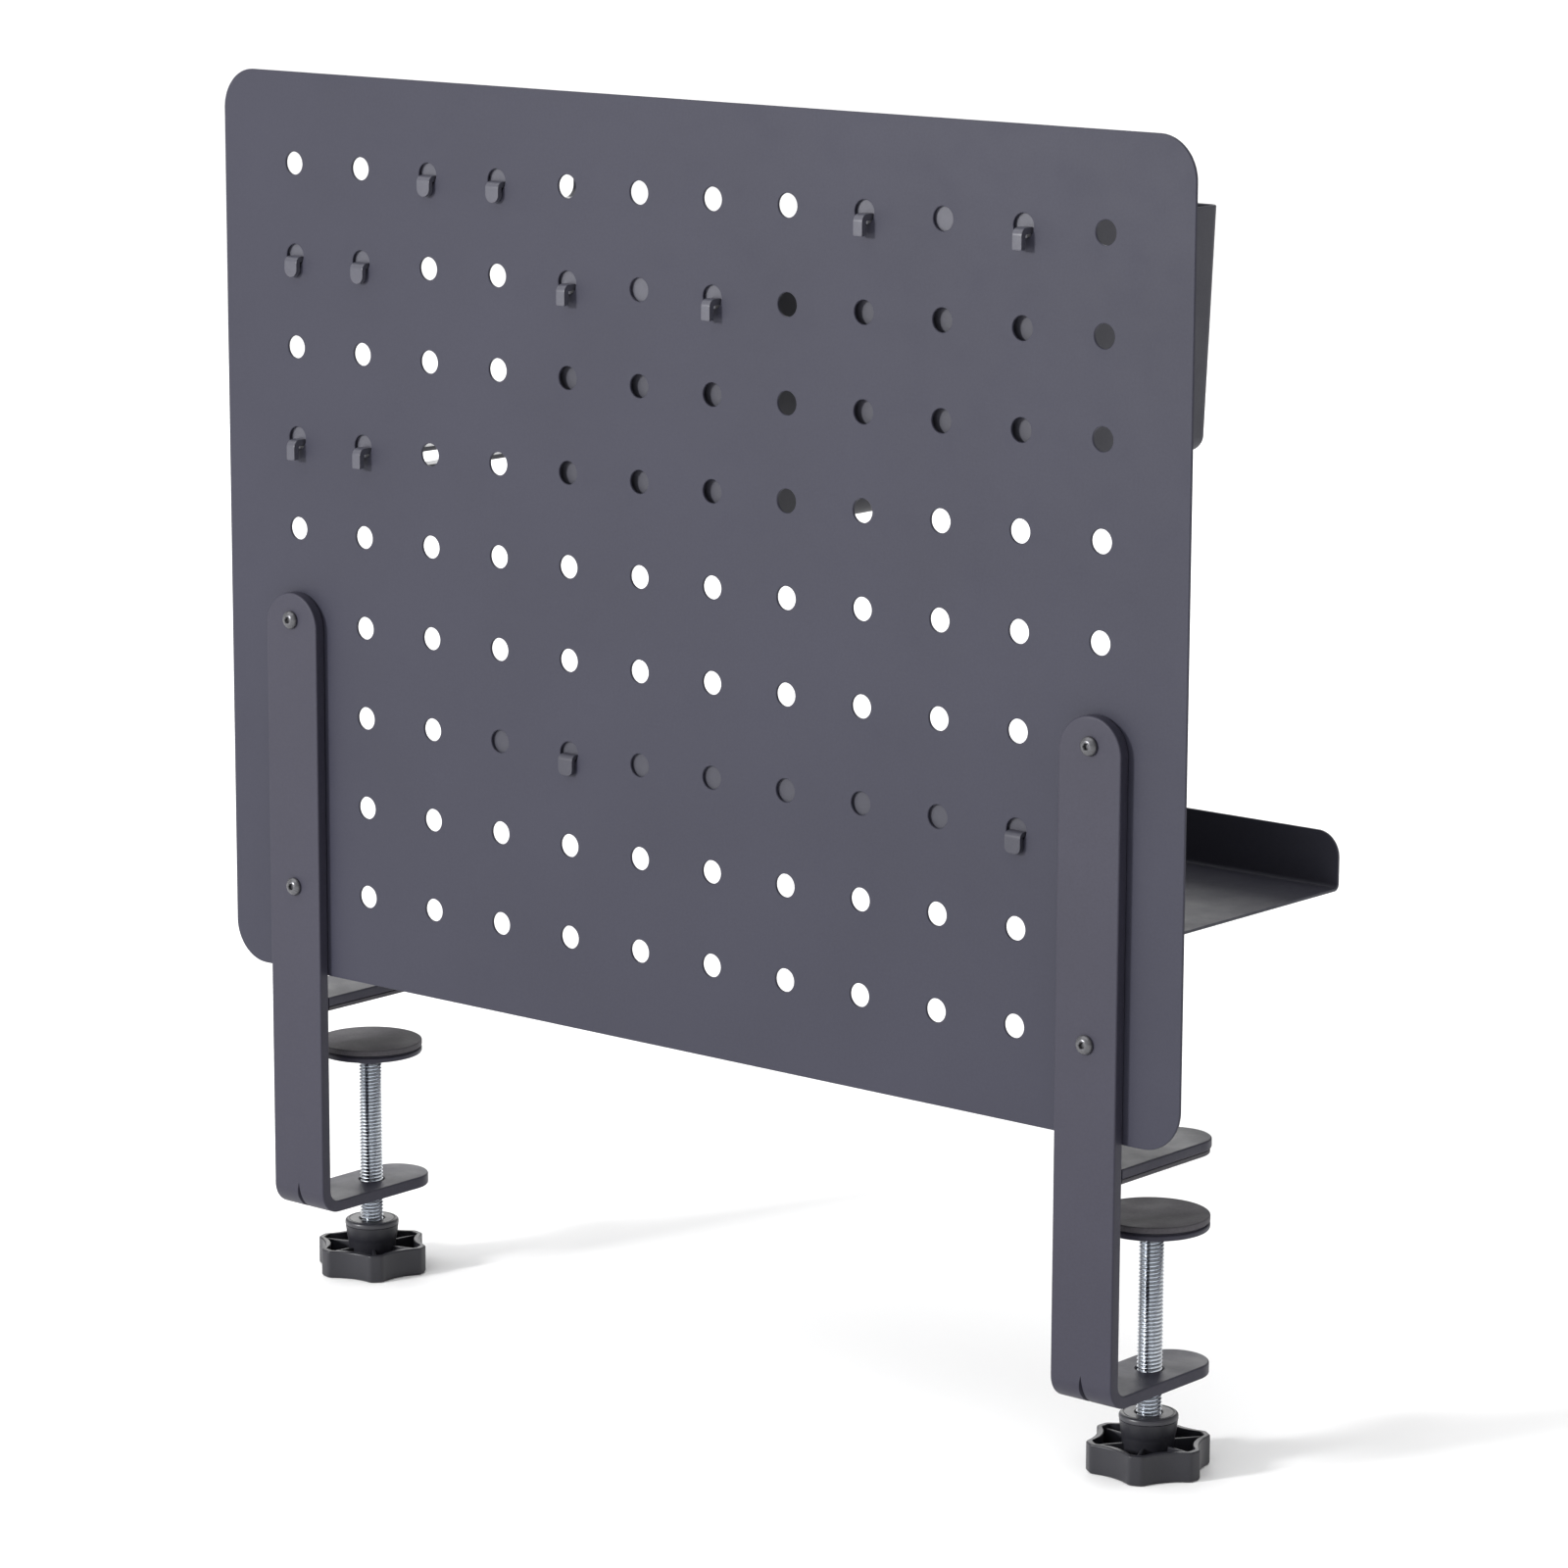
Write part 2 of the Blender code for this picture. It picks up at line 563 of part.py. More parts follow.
def pen_cup(side):
    """Open box with a round-edged foot, hung from a flat hanger behind it."""
    left, right, row = CUPS[side]
    x = (hole_centre(left, row)[0] + hole_centre(right, row)[0]) / 2
    rest = hole_centre(left, row)[1]
    foot = CUP_RIM - CUP_H
    quarter = [k / 3 * math.pi / 2 for k in range(4)]
    levels = [(foot + CUP_FOOT_R * (1 - math.sin(a)), CUP_FOOT_R * (1 - math.cos(a)))
              for a in reversed(quarter)]
    outside = levels + [(CUP_RIM, 0.0)]
    inside = [(CUP_RIM, CUP_WALL)]
    inner_r = CUP_FOOT_R - CUP_WALL
    inside += [(foot + CUP_WALL + inner_r * (1 - math.sin(a)), CUP_WALL + inner_r * (1 - math.cos(a)))
               for a in quarter]
    loops = [[(px, py, rest + z) for px, py in cup_loop(x, z, inset)] for z, inset in outside + inside]
    add_object(f"pen_cup_{side}", lofted(loops), CUP_STEEL)
    half = CUP_W / 2 - 1 * MM
    top = rest + CUP_HANGER_TOP
    hanging_plate(f"cup_hanger_{side}", x - half, x + half, top - CUP_HANGER_H, top, 3 * MM,
                  CUP_STEEL, (left, right), row, SQUARE_TONGUE)


def shelf_tray():
    """Long tray bent from one sheet: back, floor and front lip, open at both ends."""
    left, right, row = TRAY_HOLES
    x = (hole_centre(left, row)[0] + hole_centre(right, row)[0]) / 2
    back_y = PLATE_Y + TRAY_T / 2
    floor_z = TRAY_FLOOR_Z + TRAY_T / 2
    front_y = TRAY_FRONT_Y - TRAY_T / 2
    top_z = TRAY_FLOOR_Z + TRAY_BACK_H
    lip_z = TRAY_FLOOR_Z + TRAY_LIP_H
    r = TRAY_BEND_R
    moves = [("run", top_z - floor_z - r), ("turn", r, math.pi / 2), ("run", front_y - back_y - 2 * r),
             ("turn", r, math.pi / 2), ("run", lip_z - floor_z - r)]
    path = path_in_yz((back_y, top_z), -math.pi / 2, moves)
    body = strip(x, TRAY_W, TRAY_T, path, TRAY_BACK_CORNER_R, TRAY_LIP_CORNER_R, 0.0, 4, 6)
    tray = add_object("shelf_tray", body, STEEL)
    for column in (left, right):
        combine(tray, tongue(column, row, TRAY_TONGUE, TRAY_T), "UNION")


def hook_arm(x, z, reach, tip_z):
    """Flat prong that runs out from the plate and turns up at its round tip."""
    start_y = PLATE_Y + PLATE_T / 2
    bend_r = 6 * MM
    out = reach - HOOK_T / 2 - bend_r - start_y
    up = tip_z - (z + bend_r)
    path = path_in_yz((start_y, z), 0.0, [("run", out), ("turn", bend_r, math.pi / 2), ("run", up)])
    return strip(x, HOOK_W, HOOK_T, path, 0.0, HOOK_W / 2, 0.0, 5, 4)


def double_hook(name, columns, row, shape, plate_low, plate_high, arm_z, reach, tip_z):
    """Plate with a tongue and a prong at each of two neighbouring columns."""
    x0, z = hole_centre(columns[0], row)
    x1 = hole_centre(columns[1], row)[0]
    plate = hanging_plate(name, x0 - HOOK_PLATE_SIDE, x1 + HOOK_PLATE_SIDE, z + plate_low, z + plate_high,
                          4 * MM, STEEL, columns, row, shape)
    for x in (x0, x1):
        combine(plate, hook_arm(x, z + arm_z, reach, z + tip_z), "UNION")


def build():
    clear_scene()
    peg_panel()
    for side, x in (("left", -CLAMP_X), ("right", CLAMP_X)):
        clamp_bracket(side, x)
        upper_jaw(side, x)
        for place, row in zip(("top", "bottom"), SCREW_ROWS):
            bracket_screw(side, place, x, row)
            bracket_nut(side, place, x, row)
        pad_ball(side, x)
        pressure_pad(side, x)
        clamp_rod(side, x)
        clamp_knob(side, x)
        pen_cup(side)
    shelf_tray()
    double_hook("hook_long", (2, 3), 0, ROUND_TONGUE, -15 * MM, 7 * MM, -11 * MM, 52 * MM, 3.5 * MM)
    double_hook("hook_short", (0, 1), 1, ROUND_TONGUE, -15 * MM, 7 * MM, -11 * MM, 30 * MM, 3.5 * MM)
    double_hook("hook_deep", (0, 1), 3, SQUARE_TONGUE, -26 * MM, 9 * MM, -12 * MM, 94 * MM, 3 * MM)


build()
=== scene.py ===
"""The looks of the clamp-on desk pegboard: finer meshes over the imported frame, and every material."""

import json
import math

import bmesh
import bpy
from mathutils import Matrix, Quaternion, Vector

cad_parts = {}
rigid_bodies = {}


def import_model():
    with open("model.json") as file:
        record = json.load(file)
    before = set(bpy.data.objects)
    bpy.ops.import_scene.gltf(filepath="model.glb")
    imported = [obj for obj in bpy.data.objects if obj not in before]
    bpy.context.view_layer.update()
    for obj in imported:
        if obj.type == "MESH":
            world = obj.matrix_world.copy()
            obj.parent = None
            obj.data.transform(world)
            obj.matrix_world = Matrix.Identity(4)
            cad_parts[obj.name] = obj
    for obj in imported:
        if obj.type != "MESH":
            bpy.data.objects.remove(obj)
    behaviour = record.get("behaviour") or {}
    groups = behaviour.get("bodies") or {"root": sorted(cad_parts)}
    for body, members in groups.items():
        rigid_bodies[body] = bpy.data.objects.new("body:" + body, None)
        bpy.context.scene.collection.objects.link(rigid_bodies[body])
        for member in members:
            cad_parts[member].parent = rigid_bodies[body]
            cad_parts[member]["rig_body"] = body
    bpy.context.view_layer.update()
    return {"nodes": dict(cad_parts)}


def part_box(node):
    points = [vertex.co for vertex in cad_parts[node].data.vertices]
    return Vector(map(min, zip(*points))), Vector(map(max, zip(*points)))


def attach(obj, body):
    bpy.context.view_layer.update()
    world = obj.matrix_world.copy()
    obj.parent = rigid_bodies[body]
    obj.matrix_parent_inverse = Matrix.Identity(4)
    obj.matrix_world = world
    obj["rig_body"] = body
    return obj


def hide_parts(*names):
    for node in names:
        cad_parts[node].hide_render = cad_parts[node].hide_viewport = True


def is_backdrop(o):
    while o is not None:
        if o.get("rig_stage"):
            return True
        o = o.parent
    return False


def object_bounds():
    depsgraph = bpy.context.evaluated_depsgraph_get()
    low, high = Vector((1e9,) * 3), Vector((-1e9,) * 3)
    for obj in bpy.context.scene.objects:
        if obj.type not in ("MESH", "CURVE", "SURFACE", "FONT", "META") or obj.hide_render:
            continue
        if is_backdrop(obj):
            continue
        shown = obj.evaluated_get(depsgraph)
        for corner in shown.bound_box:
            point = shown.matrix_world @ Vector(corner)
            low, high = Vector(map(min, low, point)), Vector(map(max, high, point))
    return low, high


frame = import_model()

MM = 0.001
GAP = 0.3 * MM
MERGE = 0.001 * MM
SIDES = ("left", "right")

# Board
PITCH = 38.1 * MM
COLUMNS = 12
ROWS = 9
HOLE_R = 4.75 * MM
PACKED_HOLE_SIDES = 12
CELL_SIDE = 10
BOARD_CORNER_R = 17 * MM
BOARD_EDGE = 0.22 * MM

# Bars and jaws
BEND_R = 7.5 * MM
BAR_EDGE = 0.7 * MM
DART_UP = 12.5 * MM
DART_DEEP = 4.9 * MM
DART_HALF_W = 3.6 * MM
SCREW_HOLE_R = 2.4 * MM
ROD_HOLE_R = 5.4 * MM

# Clamp screw
ROD_R = 5 * MM
THREAD_PITCH = 1.5 * MM
THREAD_DEPTH = 0.8 * MM
THREAD_ROWS = 8
THREAD_COLUMNS = 32
BALL_R = 2.5 * MM
BALL_BORE_R = 1.65 * MM
SPIGOT_R = 1.3 * MM
SPIGOT_L = 4 * MM

# Pads, screws and nuts
PAD_RIM_H = 2.8 * MM
PAD_BORE_R = 3 * MM
PAD_EDGE = 0.3 * MM
FACING_EDGE = 0.55 * MM
SCREW_HEAD_H = 2.2 * MM
SCREW_SHANK_R = 2 * MM
SOCKET_R = 1.45 * MM
SOCKET_DEEP = 1.4 * MM
NUT_HALF_ACROSS = 3.5 * MM
NUT_BORE_R = 2.3 * MM

# Knob
KNOB_R = 24.7 * MM
KNOB_WAIST_R = 20.6 * MM
KNOB_SCALLOP_R = 25.5 * MM
KNOB_WALL = 2.6 * MM
KNOB_HUB_R = 11.6 * MM
KNOB_HUB_FOOT_R = 10 * MM
KNOB_HUB_H = 10.5 * MM
KNOB_FLOOR_T = 3 * MM
KNOB_LOBES = 6
KNOB_STEPS = 240
KNOB_TURNED = {"left": math.radians(18), "right": math.radians(-5)}
RIB_T = 1.5 * MM

# Accessories
PLATE_T = 1.5 * MM
PLATE_EDGE = 0.3 * MM
HANGER_CORNER_R = 3 * MM
HOOK_CORNER_R = 4 * MM
TONGUE_END = 8.8 * MM
ROUND_TONGUE = {"width": 7.0 * MM, "thick": 2.4 * MM, "reach": 2.9 * MM, "end_r": 3.4 * MM, "aside": 0.0}
SQUARE_TONGUE = {"width": 4.5 * MM, "thick": 2.7 * MM, "reach": 5.2 * MM,
                 "end_r": 0.6 * MM, "aside": 0.9 * MM}
TRAY_TONGUE = {"width": 7.6 * MM, "thick": 2.0 * MM, "reach": 2.5 * MM, "end_r": 2.6 * MM, "aside": 0.0}
CUP_WALL = 1.2 * MM
CUP_LEAN = 6 * MM
CUP_CORNER_R = 4 * MM
CUP_FOOT_R = 6 * MM
CUPS = {"left": (4, 6, 1), "right": (8, 10, 0)}
TRAY_T = 1.2 * MM
TRAY_BEND_R = 2.2 * MM
TRAY_LIP_H = 23 * MM
TRAY_LIP_CORNER_R = 10 * MM
TRAY_BACK_CORNER_R = 4 * MM
TRAY_HOLES = (4, 10, 6)
HOOK_W = 8 * MM
HOOK_T = 2 * MM
HOOK_BEND_R = 6 * MM

# Camera, at the photograph's viewing angle
AZIMUTH = 40.15868
ELEVATION = 11.41815
ROLL = 0.21673
LENS = 128.797
TARGET = (0.0565424, 0.0, 0.1318398)
DISTANCE = 2.1927749

# Studio: the brightest direction of the surroundings, and the one square to their dark upright arch
BRIGHTEST = (-0.55, -0.8, 0.25)
ARCH_NORMAL = (0.259, 0.966, 0.0)
FLOOR_HALF = 30.0
FLOOR_DROP = 0.1 * MM
SUN_POWER = 1.7
SUN_ANGLE = math.radians(70)
SUN_PLACE = (-0.5, -0.8, 3.0)
SUN_TARGET = (0, 0, 0.2)
# Size, power, place and target of each softbox
SOFTBOXES = {"front_softbox": (0.45, 96, (-1.13, -2.8, 0.95), (-0.1, 0, 0.2)),
             "back_softbox": (1.6, 16, (-2.0, 2.4, 1.1), (0, 0, 0))}

# The middle span of a noise texture's values, where nearly all of them lie
NOISE_LOW = 0.3
NOISE_HIGH = 0.7


# Materials

def add_node(tree, kind, **values):
    made = tree.nodes.new(kind)
    for key, value in values.items():
        if key.startswith("in_"):
            made.inputs[int(key[3:])].default_value = value
        else:
            setattr(made, key, value)
    return made


def noise(tree, place, scale, detail, roughness=0.5):
    made = add_node(tree, "ShaderNodeTexNoise")
    made.inputs["Scale"].default_value = scale
    made.inputs["Detail"].default_value = detail
    made.inputs["Roughness"].default_value = roughness
    tree.links.new(place, made.inputs["Vector"])
    return made.outputs["Fac"]


def ranged(tree, value, low, high, to_low, to_high):
    made = add_node(tree, "ShaderNodeMapRange", in_1=low, in_2=high, in_3=to_low, in_4=to_high)
    tree.links.new(value, made.inputs[0])
    return made.outputs[0]


def uneven(tree, value, low, high):
    """A noise value spread over a range."""
    return ranged(tree, value, NOISE_LOW, NOISE_HIGH, low, high)


def times(tree, first, second):
    made = add_node(tree, "ShaderNodeMath", operation="MULTIPLY")
    tree.links.new(first, made.inputs[0])
    tree.links.new(second, made.inputs[1])
    return made.outputs[0]


def surface(name, colour, rough, grain, metallic=0.0, specular=0.5, coat=0.0, mottle=0.05,
            speckle=0.06, painted_shade_attr=None):
    """A procedural finish: cloudy and speckled colour, uneven gloss and a fine grain.

    rough is (lowest, highest), and grain is a list of (size of a feature, height) in metres.
    The last argument names a point attribute, from 0 to 1, of hollows whose colour is darkened as painted
    shade.
    """
    made = bpy.data.materials.new(name)
    made.use_nodes = True
    tree = made.node_tree
    shader = tree.nodes["Principled BSDF"]
    place = add_node(tree, "ShaderNodeTexCoord").outputs["Object"]
    clouds = uneven(tree, noise(tree, place, 14, 3), 1 - mottle, 1 + mottle)
    specks = uneven(tree, noise(tree, place, 900, 2, 0.7), 1 - speckle, 1 + speckle)
    shade = times(tree, clouds, specks)
    if painted_shade_attr:
        # Painted shade: deep in the hollows the attribute marks, the colour darkens to about a quarter.
        depth = add_node(tree, "ShaderNodeAttribute", attribute_name=painted_shade_attr).outputs["Fac"]
        shade = times(tree, shade, ranged(tree, depth, 0.3, 0.95, 1.0, 0.24))
    tint = add_node(tree, "ShaderNodeVectorMath", operation="SCALE")
    tint.inputs[0].default_value = colour
    tree.links.new(shade, tint.inputs["Scale"])
    tree.links.new(tint.outputs["Vector"], shader.inputs["Base Color"])
    gloss = uneven(tree, noise(tree, place, 55, 5, 0.65), *rough)
    tree.links.new(gloss, shader.inputs["Roughness"])
    shader.inputs["Metallic"].default_value = metallic
    shader.inputs["Specular IOR Level"].default_value = specular
    shader.inputs["Coat Weight"].default_value = coat
    shader.inputs["Coat Roughness"].default_value = 0.22
    normal = None
    for size, height in grain:
        bump = add_node(tree, "ShaderNodeBump")
        bump.inputs["Distance"].default_value = height
        bump.inputs["Strength"].default_value = 1.0
        tree.links.new(noise(tree, place, 1 / size, 3, 0.6), bump.inputs["Height"])
        if normal:
            tree.links.new(normal, bump.inputs["Normal"])
        normal = bump.outputs["Normal"]
    tree.links.new(normal, shader.inputs["Normal"])
    return made


POWDER_GRAIN = [(2.6 * MM, 0.035 * MM), (0.55 * MM, 0.014 * MM)]
PANEL = surface("powder_coat_board", (0.027, 0.027, 0.041), (0.42, 0.56), POWDER_GRAIN, specular=0.21)
BAR = surface("powder_coat_bar", (0.029, 0.028, 0.042), (0.40, 0.54), POWDER_GRAIN, specular=0.24)
CUP = surface("powder_coat_cup", (0.038, 0.038, 0.050), (0.40, 0.54), POWDER_GRAIN, specular=0.32)
HANGER = surface("powder_coat_hanger", (0.052, 0.052, 0.068), (0.30, 0.44), POWDER_GRAIN, specular=0.45)
TRAY = surface("powder_coat_tray", (0.032, 0.032, 0.044), (0.44, 0.58), POWDER_GRAIN, specular=0.35)
# Zinc plate, with painted shade darkening the thread roots through the thread_depth attribute.
ZINC = surface("zinc_plate", (0.80, 0.84, 0.90), (0.13, 0.30), [(0.7 * MM, 0.006 * MM)], metallic=1.0,
               mottle=0.10, speckle=0.10, painted_shade_attr="thread_depth")
BLACK = surface("black_oxide", (0.085, 0.085, 0.092), (0.18, 0.32), [(0.4 * MM, 0.004 * MM)],
                metallic=0.55, mottle=0.12, speckle=0.15)
RUBBER = surface("solid_rubber", (0.064, 0.060, 0.068), (0.62, 0.82), [(0.9 * MM, 0.02 * MM),
                 (0.28 * MM, 0.012 * MM)], specular=0.35, mottle=0.10, speckle=0.14)
MOULDED = surface("moulded_plastic", (0.016, 0.016, 0.021), (0.34, 0.46), [(1.4 * MM, 0.012 * MM),
                  (0.3 * MM, 0.005 * MM)], specular=0.4, mottle=0.07, speckle=0.06)
GLOSSY = surface("moulded_cap", (0.024, 0.024, 0.031), (0.36, 0.46), [(1.8 * MM, 0.008 * MM)],
                 coat=0.12, mottle=0.08, speckle=0.04)


# Mesh helpers

def evaluated(obj):
    """The object's mesh with its modifiers applied, and the modifiers gone."""
    graph = bpy.context.evaluated_depsgraph_get()
    mesh = bpy.data.meshes.new_from_object(obj.evaluated_get(graph))
    obj.modifiers.clear()
    obj.data = mesh


def plain_object(name, bm):
    bmesh.ops.remove_doubles(bm, verts=bm.verts, dist=MERGE)
    bmesh.ops.recalc_face_normals(bm, faces=bm.faces)
    mesh = bpy.data.meshes.new(name)
    bm.to_mesh(mesh)
    bm.free()
    made = bpy.data.objects.new(name, mesh)
    bpy.context.scene.collection.objects.link(made)
    return made


def piece(node, bm, finishes, steps=(), sharp=32, choose=None):
    """A finished mesh that stands for a CAD node and rides on its body.

    steps are Boolean operations with further meshes, and choose picks a face's finish by its centre.
    """
    made = plain_object(f"{node}_finished", bm)
    operands = []
    for number, (operation, other) in enumerate(steps):
        operand = plain_object(f"{node}_step_{number}", other)
        step = made.modifiers.new(operation.title(), "BOOLEAN")
        step.operation = operation
        step.solver = "EXACT"
        step.object = operand
        operands.append(operand)
    if operands:
        evaluated(made)
        for operand in operands:
            bpy.data.objects.remove(operand, do_unlink=True)
    made.data.materials.clear()
    for finish in finishes:
        made.data.materials.append(finish)
    if choose:
        for face in made.data.polygons:
            face.material_index = choose(face.center)
    made.data.shade_smooth()
    made.data.set_sharp_from_angle(angle=math.radians(sharp))
    weighted = made.modifiers.new("Weighted", "WEIGHTED_NORMAL")
    weighted.keep_sharp = True
    evaluated(made)
    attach(made, frame["nodes"][node]["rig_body"])
    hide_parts(node)
    return made


def ring_of(bm, points):
    return [bm.verts.new(point) for point in points]


def bridge(bm, first, second):
    for i in range(len(first)):
        j = (i + 1) % len(first)
        bm.faces.new((first[i], first[j], second[j], second[i]))


def lofted(loops, bm=None):
    """A closed surface through the loops in turn, on its own or beside what a bmesh already holds."""
    bm = bm or bmesh.new()
    rings = [ring_of(bm, loop) for loop in loops]
    for first, second in zip(rings, rings[1:]):
        bridge(bm, first, second)
    bm.faces.new(rings[0])
    bm.faces.new(rings[-1])
    return bm


def round_loop(x, y, z, radius, steps):
    angles = [k / steps * math.tau for k in range(steps)]
    return [(x + radius * math.cos(angle), y + radius * math.sin(angle), z) for angle in angles]


def turned(profile, x, y, steps=96):
    """A profile of (radius, z) points, from axis to axis, turned about the vertical through (x, y)."""
    return lofted([round_loop(x, y, z, r, steps) for r, z in profile])


def turned_along_y(profile, x, z, steps=64):
    """A profile of (radius, y) points turned about the axis along Y through (x, z)."""
    bm = turned(profile, 0, 0, steps)
    for vert in bm.verts:
        across, up, forward = vert.co
        vert.co = (x + across, forward, z + up)
    return bm


def rounded_rectangle(a0, a1, b0, b1, radius, steps):
    corners = ((a1, b1, 0), (a0, b1, 1), (a0, b0, 2), (a1, b0, 3))
    points = []
    for a, b, quarter in corners:
        centre_a = a - radius if a == a1 else a + radius
        centre_b = b - radius if b == b1 else b + radius
        for k in range(steps + 1):
            angle = (quarter + k / steps) * math.pi / 2
            points.append((centre_a + radius * math.cos(angle), centre_b + radius * math.sin(angle)))
    return points


def path_in_yz(start, heading, moves):
    """Stretches (length, y, z, heading, curvature) of a path that heads from +Y towards +Z."""
    y, z = start
    stretches = []
    for kind, size, *turn in moves:
        if kind == "run":
            stretches.append((size, y, z, heading, 0.0))
            y += size * math.cos(heading)
            z += size * math.sin(heading)
        else:
            curvature = math.copysign(1 / size, turn[0])
            stretches.append((size * abs(turn[0]), y, z, heading, curvature))
            y += (math.sin(heading + turn[0]) - math.sin(heading)) / curvature
            z -= (math.cos(heading + turn[0]) - math.cos(heading)) / curvature
            heading += turn[0]
    return stretches


def along(stretches, distance):
    for index, (length, y, z, heading, curvature) in enumerate(stretches):
        if distance <= length or index == len(stretches) - 1:
            break
        distance -= length
    if curvature == 0:
        return y + distance * math.cos(heading), z + distance * math.sin(heading), heading
    turned_to = heading + distance * curvature
    y += (math.sin(turned_to) - math.sin(heading)) / curvature
    z -= (math.cos(turned_to) - math.cos(heading)) / curvature
    return y, z, turned_to


def strip(x, width, thickness, stretches, start_r, end_r, edge, bend_steps=14, end_steps=16, edge_steps=3):
    """A bar of constant width along a path in the YZ plane, with rounded corners and rounded edges."""
    total = sum(stretch[0] for stretch in stretches)
    half = width / 2
    stations = []
    quarter = [k / end_steps * math.pi / 2 for k in range(end_steps + 1)]
    if start_r:
        for angle in quarter:
            stations.append((start_r * (1 - math.cos(angle)), math.cos(angle),
                             half - start_r + start_r * math.sin(angle), -math.sin(angle)))
    else:
        stations.append((0.0, 0.0, half, -1.0))
    reached = 0.0
    for length, _, _, _, curvature in stretches:
        marks = [reached + length * k / bend_steps for k in range(bend_steps + 1)] if curvature else []
        for mark in marks:
            if start_r < mark < total - end_r:
                stations.append((mark, 0.0, half, -1.0))
        reached += length
    if end_r:
        for angle in reversed(quarter):
            stations.append((total - end_r * (1 - math.cos(angle)), -math.cos(angle),
                             half - end_r + end_r * math.sin(angle), -math.sin(angle)))
    else:
        stations.append((total, 0.0, half, -1.0))
    depth = thickness / 2
    rounding = [k / edge_steps * math.pi / 2 for k in range(edge_steps + 1)]
    low = [(-depth + edge * (1 - math.cos(a)), edge * (1 - math.sin(a))) for a in rounding]
    levels = low + [(-lift, inset) for lift, inset in reversed(low)]
    bm = bmesh.new()
    rings = []
    for distance, distance_in, half_width, half_width_in in stations:
        sides = []
        for lift, inset in levels:
            y, z, heading = along(stretches, distance + distance_in * inset)
            y -= lift * math.sin(heading)
            z += lift * math.cos(heading)
            sides.append((max(half_width + half_width_in * inset, 0), y, z))
        left = ring_of(bm, [(x - w, y, z) for w, y, z in sides])
        right = ring_of(bm, [(x + w, y, z) for w, y, z in reversed(sides)])
        rings.append(left + right)
    for first, second in zip(rings, rings[1:]):
        bridge(bm, first, second)
    for ring in (rings[0], rings[-1]):
        for i in range(len(levels) - 1):
            bm.faces.new((ring[i], ring[i + 1], ring[-i - 2], ring[-i - 1]))
    return bm


def plate(x0, x1, z0, z1, radius, y0, y1, edge, steps=12):
    """A flat plate in the XZ plane with round corners and rounded edges."""
    loops = []
    rounding = [k / 3 * math.pi / 2 for k in range(4)]
    low = [(y0 + edge * (1 - math.cos(a)), edge * (1 - math.sin(a))) for a in rounding]
    high = [(y1 - edge * (1 - math.cos(a)), edge * (1 - math.sin(a))) for a in reversed(rounding)]
    for y, inset in low + high:
        outline = rounded_rectangle(x0 + inset, x1 - inset, z0 + inset, z1 - inset, radius - inset, steps)
        loops.append([(px, y, pz) for px, pz in outline])
    return lofted(loops)


def middle(node):
    low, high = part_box(node)
    return (low + high) / 2


def hole_centre(column, row):
    centre = middle("peg_panel")
    return centre.x + (column - (COLUMNS - 1) / 2) * PITCH, centre.z + ((ROWS - 1) / 2 - row) * PITCH


# Board

def cell_border(x, z):
    """Points around the square cell of a hole, level with those around the hole."""
    points = []
    for k in range(4 * CELL_SIDE):
        side, step = divmod(k, CELL_SIDE)
        across = PITCH / 2
        up = PITCH / 2 * math.tan((step / CELL_SIDE - 0.5) * math.pi / 2)
        for _ in range(side):
            across, up = -up, across
        points.append((x + across, z + up))
    return points


def hole_border(x, z, radius):
    angles = [(k / CELL_SIDE - 0.5) * math.pi / 2 for k in range(4 * CELL_SIDE)]
    return [(x + radius * math.cos(angle), z + radius * math.sin(angle)) for angle in angles]


def board_face(bm, y, low, high):
    """One face of the board: a web of quads around each hole, and the margin around them."""
    rims = []
    for row in range(ROWS):
        for column in range(COLUMNS):
            x, z = hole_centre(column, row)
            rim = ring_of(bm, [(a, y, b) for a, b in hole_border(x, z, HOLE_R + BOARD_EDGE)])
            border = ring_of(bm, [(a, y, b) for a, b in cell_border(x, z)])
            bridge(bm, rim, border)
            rims.append(rim)
    level = [vert for vert in bm.verts if abs(vert.co.y - y) < MERGE]
    bmesh.ops.remove_doubles(bm, verts=level, dist=0.02 * MM)
    radius = BOARD_CORNER_R - BOARD_EDGE
    outline = rounded_rectangle(low.x + BOARD_EDGE, high.x - BOARD_EDGE, low.z + BOARD_EDGE,
                                high.z - BOARD_EDGE, radius, 24)
    ring = ring_of(bm, [(a, y, b) for a, b in outline])
    edges = [bm.edges.new(pair) for pair in zip(ring, ring[1:] + ring[:1])]
    x0, z0 = hole_centre(0, ROWS - 1)
    x1, z1 = hole_centre(COLUMNS - 1, 0)
    reach = PITCH / 2 - 0.01 * MM
    for edge in bm.edges:
        a = (edge.verts[0].co + edge.verts[1].co) / 2
        if len(edge.link_faces) == 1 and abs(a.y - y) < MERGE:
            if a.x < x0 - reach or a.x > x1 + reach or a.z < z0 - reach or a.z > z1 + reach:
                edges.append(edge)
    bmesh.ops.triangle_fill(bm, use_beauty=True, use_dissolve=False, edges=edges)
    return rims, ring


